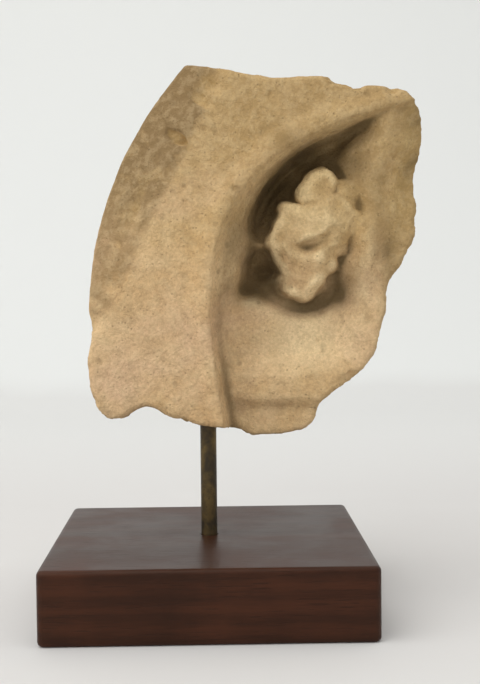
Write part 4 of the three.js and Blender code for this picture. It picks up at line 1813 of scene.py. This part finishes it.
@dataclass
class BaseBlock:
    """The square wooden block with eased edges and a blind bore for the rod."""

    easing: float = 1.8 * MM
    corner: float = 2.5 * MM
    least_corner: float = 0.4 * MM
    bore_radius: float = 3.3 * MM
    bore_depth: float = 16.0 * MM
    bore_chamfer: float = 0.2 * MM
    corner_steps: int = 8
    side_steps: int = 14
    side_bearing: float = 43.0
    easing_steps: int = 7
    flat_margin: float = 0.7 * MM
    sharp_angle: float = 40.0

    def ring(self, half: float, corner: float, height: float) -> list[Point]:
        """Draw a square with round corners at a height.

        Args:
            half: Half the square's side.
            corner: The radius of its corners.
            height: Its height.

        Returns:
            Its points, anticlockwise from above.
        """
        points = []
        for quarter in range(4):
            turn = quarter * math.pi / 2.0
            cos, sin = math.cos(turn), math.sin(turn)
            local = []
            for step in range(self.side_steps):
                bearing = -self.side_bearing + 2.0 * self.side_bearing * step / self.side_steps
                reach = math.tan(math.radians(bearing)) / math.tan(math.radians(self.side_bearing))
                local.append((half, (half - corner) * reach))
            for step in range(self.corner_steps):
                angle = math.pi / 2.0 * step / self.corner_steps
                middle = half - corner
                local.append((middle + corner * math.cos(angle), middle + corner * math.sin(angle)))
            points += [(x * cos - y * sin, x * sin + y * cos, height) for x, y in local]
        return points

    def circle(self, radius: float, height: float, like: Sequence[Point]) -> list[Point]:
        """Draw a circle whose points lie on the same bearings as another ring's."""
        bearings = [math.atan2(y, x) for x, y, _ in like]
        return [(radius * math.cos(angle), radius * math.sin(angle), height) for angle in bearings]

    def eased_ring(self, half: float, inset: float, height: float) -> list[Point]:
        """Draw the block's outline where its edge is eased.

        Args:
            half: Half the block's side.
            inset: How far the ring lies in from the side.
            height: Its height.

        Returns:
            Its points, anticlockwise from above.
        """
        return self.ring(half - inset, max(self.corner - inset, self.least_corner), height)

    def rings(self) -> list[list[Point]]:
        """Draw the block's rings: up its bore, across its top, down its sides and across its foot.

        Returns:
            The rings in order, each with as many points as the others.
        """
        low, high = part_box(Node.BLOCK.value)
        half, top = (high[0] - low[0]) / 2.0, high[2]
        outer = self.ring(half, self.corner, 0.0)
        flat = half - self.easing - self.flat_margin
        drawn = [
            self.circle(self.bore_radius, top - self.bore_depth, outer),
            self.circle(self.bore_radius, top - self.bore_chamfer, outer),
            self.circle(self.bore_radius + self.bore_chamfer, top, outer),
            self.ring(flat, self.corner, top),
        ]
        quarter = np.linspace(0.0, math.pi / 2.0, self.easing_steps)
        for angle in quarter:
            inset = self.easing * (1.0 - math.sin(angle))
            drawn.append(self.eased_ring(half, inset, top - self.easing * (1.0 - math.cos(angle))))
        for height in (top - self.easing - self.flat_margin, low[2] + self.easing + self.flat_margin):
            drawn.append(self.ring(half, self.corner, height))
        for angle in quarter:
            inset = self.easing * (1.0 - math.cos(angle))
            drawn.append(self.eased_ring(half, inset, low[2] + self.easing * (1.0 - math.sin(angle))))
        drawn.append(self.ring(flat, self.corner, low[2]))
        return drawn

    def mesh(self) -> bpy.types.Mesh:
        """Loft the block from its rings.

        Returns:
            The closed mesh.
        """
        rings = self.rings()
        count = len(rings[0])
        points = [point for ring in rings for point in ring]
        faces = []
        for index in range(len(rings) - 1):
            here, there = index * count, (index + 1) * count
            for step in range(count):
                following = (step + 1) % count
                faces.append((here + step, there + step, there + following, here + following))
        faces.append(tuple(range(count)))
        faces.append(tuple(reversed(range(count * (len(rings) - 1), count * len(rings)))))
        mesh = bpy.data.meshes.new("wooden_block")
        mesh.from_pydata(points, [], faces)
        mesh.update()
        return mesh

    def build(self, finish: StainedWoodFinish) -> bpy.types.Object:
        """Make the block and put it in place of its node.

        Args:
            finish: The block's finish.

        Returns:
            The finished piece.
        """
        piece = bpy.data.objects.new("wooden_block", self.mesh())
        bpy.context.scene.collection.objects.link(piece)
        piece.data.materials.append(finish.material())
        piece.data.shade_smooth()
        piece.data.set_sharp_from_angle(angle=math.radians(self.sharp_angle))
        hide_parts(Node.BLOCK.value)
        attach(piece, "root")
        return piece


# ---- the studio ----------------------------------------------------------------------------------


@dataclass(frozen=True)
class SoftLight:
    """A square lamp: its place and side in metres, its power in watts and its colour."""

    name: str
    place: Point
    size: float
    power: float
    colour: Colour

    def hang(self, target: Point) -> None:
        """Hang the lamp so that it faces a place.

        Args:
            target: The place.
        """
        data = bpy.data.lights.new(self.name, "AREA")
        data.shape = "SQUARE"
        data.size = self.size
        data.energy = self.power
        data.color = self.colour
        lamp = bpy.data.objects.new(self.name, data)
        lamp.location = self.place
        towards = Vector(target) - Vector(self.place)
        lamp.rotation_euler = towards.to_track_quat("-Z", "Y").to_euler()
        bpy.context.scene.collection.objects.link(lamp)


@dataclass
class Studio:
    """The pale sweep, the soft lights and the camera: sizes and places in metres, angles in degrees."""

    sweep_width: float = 9.0
    sweep_front: float = -4.5
    sweep_back: float = 1.1
    sweep_bend: float = 0.5
    sweep_bend_steps: int = 24
    sweep_height: float = 2.4
    lit_place: Point = (0.015, 0.0, 0.12)
    lights: tuple[SoftLight, ...] = (
        SoftLight("key", (-0.76, -0.72, 1.10), 1.8, 17.8, (1.0, 0.995, 0.98)),
        SoftLight("top", (0.1, 0.2, 1.3), 1.4, 5.0, (1.0, 0.995, 0.985)),
        SoftLight("fill", (1.1, -1.0, 0.8), 1.4, 2.2, (1.0, 0.995, 0.98)),
    )
    world_colour: Colour = (0.99, 1.0, 0.995)
    world_light: float = 0.51
    world_seen: float = 0.8
    eye_point: Point = (0.0018, -0.4555, 0.1203)
    pitch: float = -2.9
    yaw: float = -1.3
    roll: float = -0.55
    lens: float = 64.6
    sensor_width: float = 36.0
    clip_start: float = 0.01

    def sweep(self, finish: SweepFinish) -> None:
        """Lay the floor and bend it up into the backdrop.

        Args:
            finish: The sweep's finish.
        """
        profile = [(self.sweep_front, 0.0)]
        for angle in np.linspace(0.0, math.pi / 2.0, self.sweep_bend_steps):
            profile.append((self.sweep_back - self.sweep_bend + self.sweep_bend * math.sin(angle),
                            self.sweep_bend * (1.0 - math.cos(angle))))
        profile.append((self.sweep_back, self.sweep_height))
        half = self.sweep_width / 2.0
        points = [(side * half, y, z) for y, z in profile for side in (-1.0, 1.0)]
        faces = [(2 * i, 2 * i + 1, 2 * i + 3, 2 * i + 2) for i in range(len(profile) - 1)]
        mesh = bpy.data.meshes.new("sweep")
        mesh.from_pydata(points, [], faces)
        mesh.shade_smooth()
        mesh.materials.append(finish.material())
        floor = bpy.data.objects.new("sweep", mesh)
        bpy.context.scene.collection.objects.link(floor)

    def light(self) -> None:
        """Set the soft light from above and the left, a weak fill and the pale surroundings."""
        for lamp in self.lights:
            lamp.hang(self.lit_place)
        world = bpy.data.worlds.new("studio")
        world.use_nodes = True
        kit = TreeKit(world.node_tree)
        background = world.node_tree.nodes["Background"]
        kit.put(self.world_colour, background.inputs["Color"])
        seen = kit.add("ShaderNodeLightPath").outputs["Is Camera Ray"]
        strength = kit.between(seen, WHOLE, (self.world_light, self.world_seen))
        kit.put(strength, background.inputs["Strength"])
        bpy.context.scene.world = world

    def aim(self) -> None:
        """Stand the camera in front of the carved face, a little above its middle."""
        data = bpy.data.cameras.new("camera")
        data.sensor_width = self.sensor_width
        data.lens = self.lens
        data.clip_start = self.clip_start
        camera = bpy.data.objects.new("camera", data)
        level = Euler((math.radians(90.0 + self.pitch), 0.0, math.radians(self.yaw)), "XYZ")
        tilt = Euler((0.0, 0.0, math.radians(self.roll)), "XYZ")
        camera.matrix_world = level.to_matrix().to_4x4() @ tilt.to_matrix().to_4x4()
        camera.location = self.eye_point
        bpy.context.scene.collection.objects.link(camera)
        bpy.context.scene.camera = camera

    def build(self, finish: SweepFinish) -> None:
        """Set up the studio.

        Args:
            finish: The sweep's finish.
        """
        self.sweep(finish)
        self.light()
        self.aim()
        bpy.context.scene.view_settings.view_transform = "Standard"


def main() -> None:
    """Build every piece in order and report it."""
    logging.basicConfig(level=logging.INFO, format="%(name)s: %(message)s")
    Studio().build(SweepFinish())
    pieces = (
        CarvedFragment().build(LimestoneFinish()),
        MountRod().build(BronzeFinish()),
        BaseBlock().build(StainedWoodFinish()),
    )
    for piece in pieces:
        LOG.info("%s: %d corners, %d faces", piece.name, len(piece.data.vertices), len(piece.data.polygons))


if __name__ == "__main__":
    main()
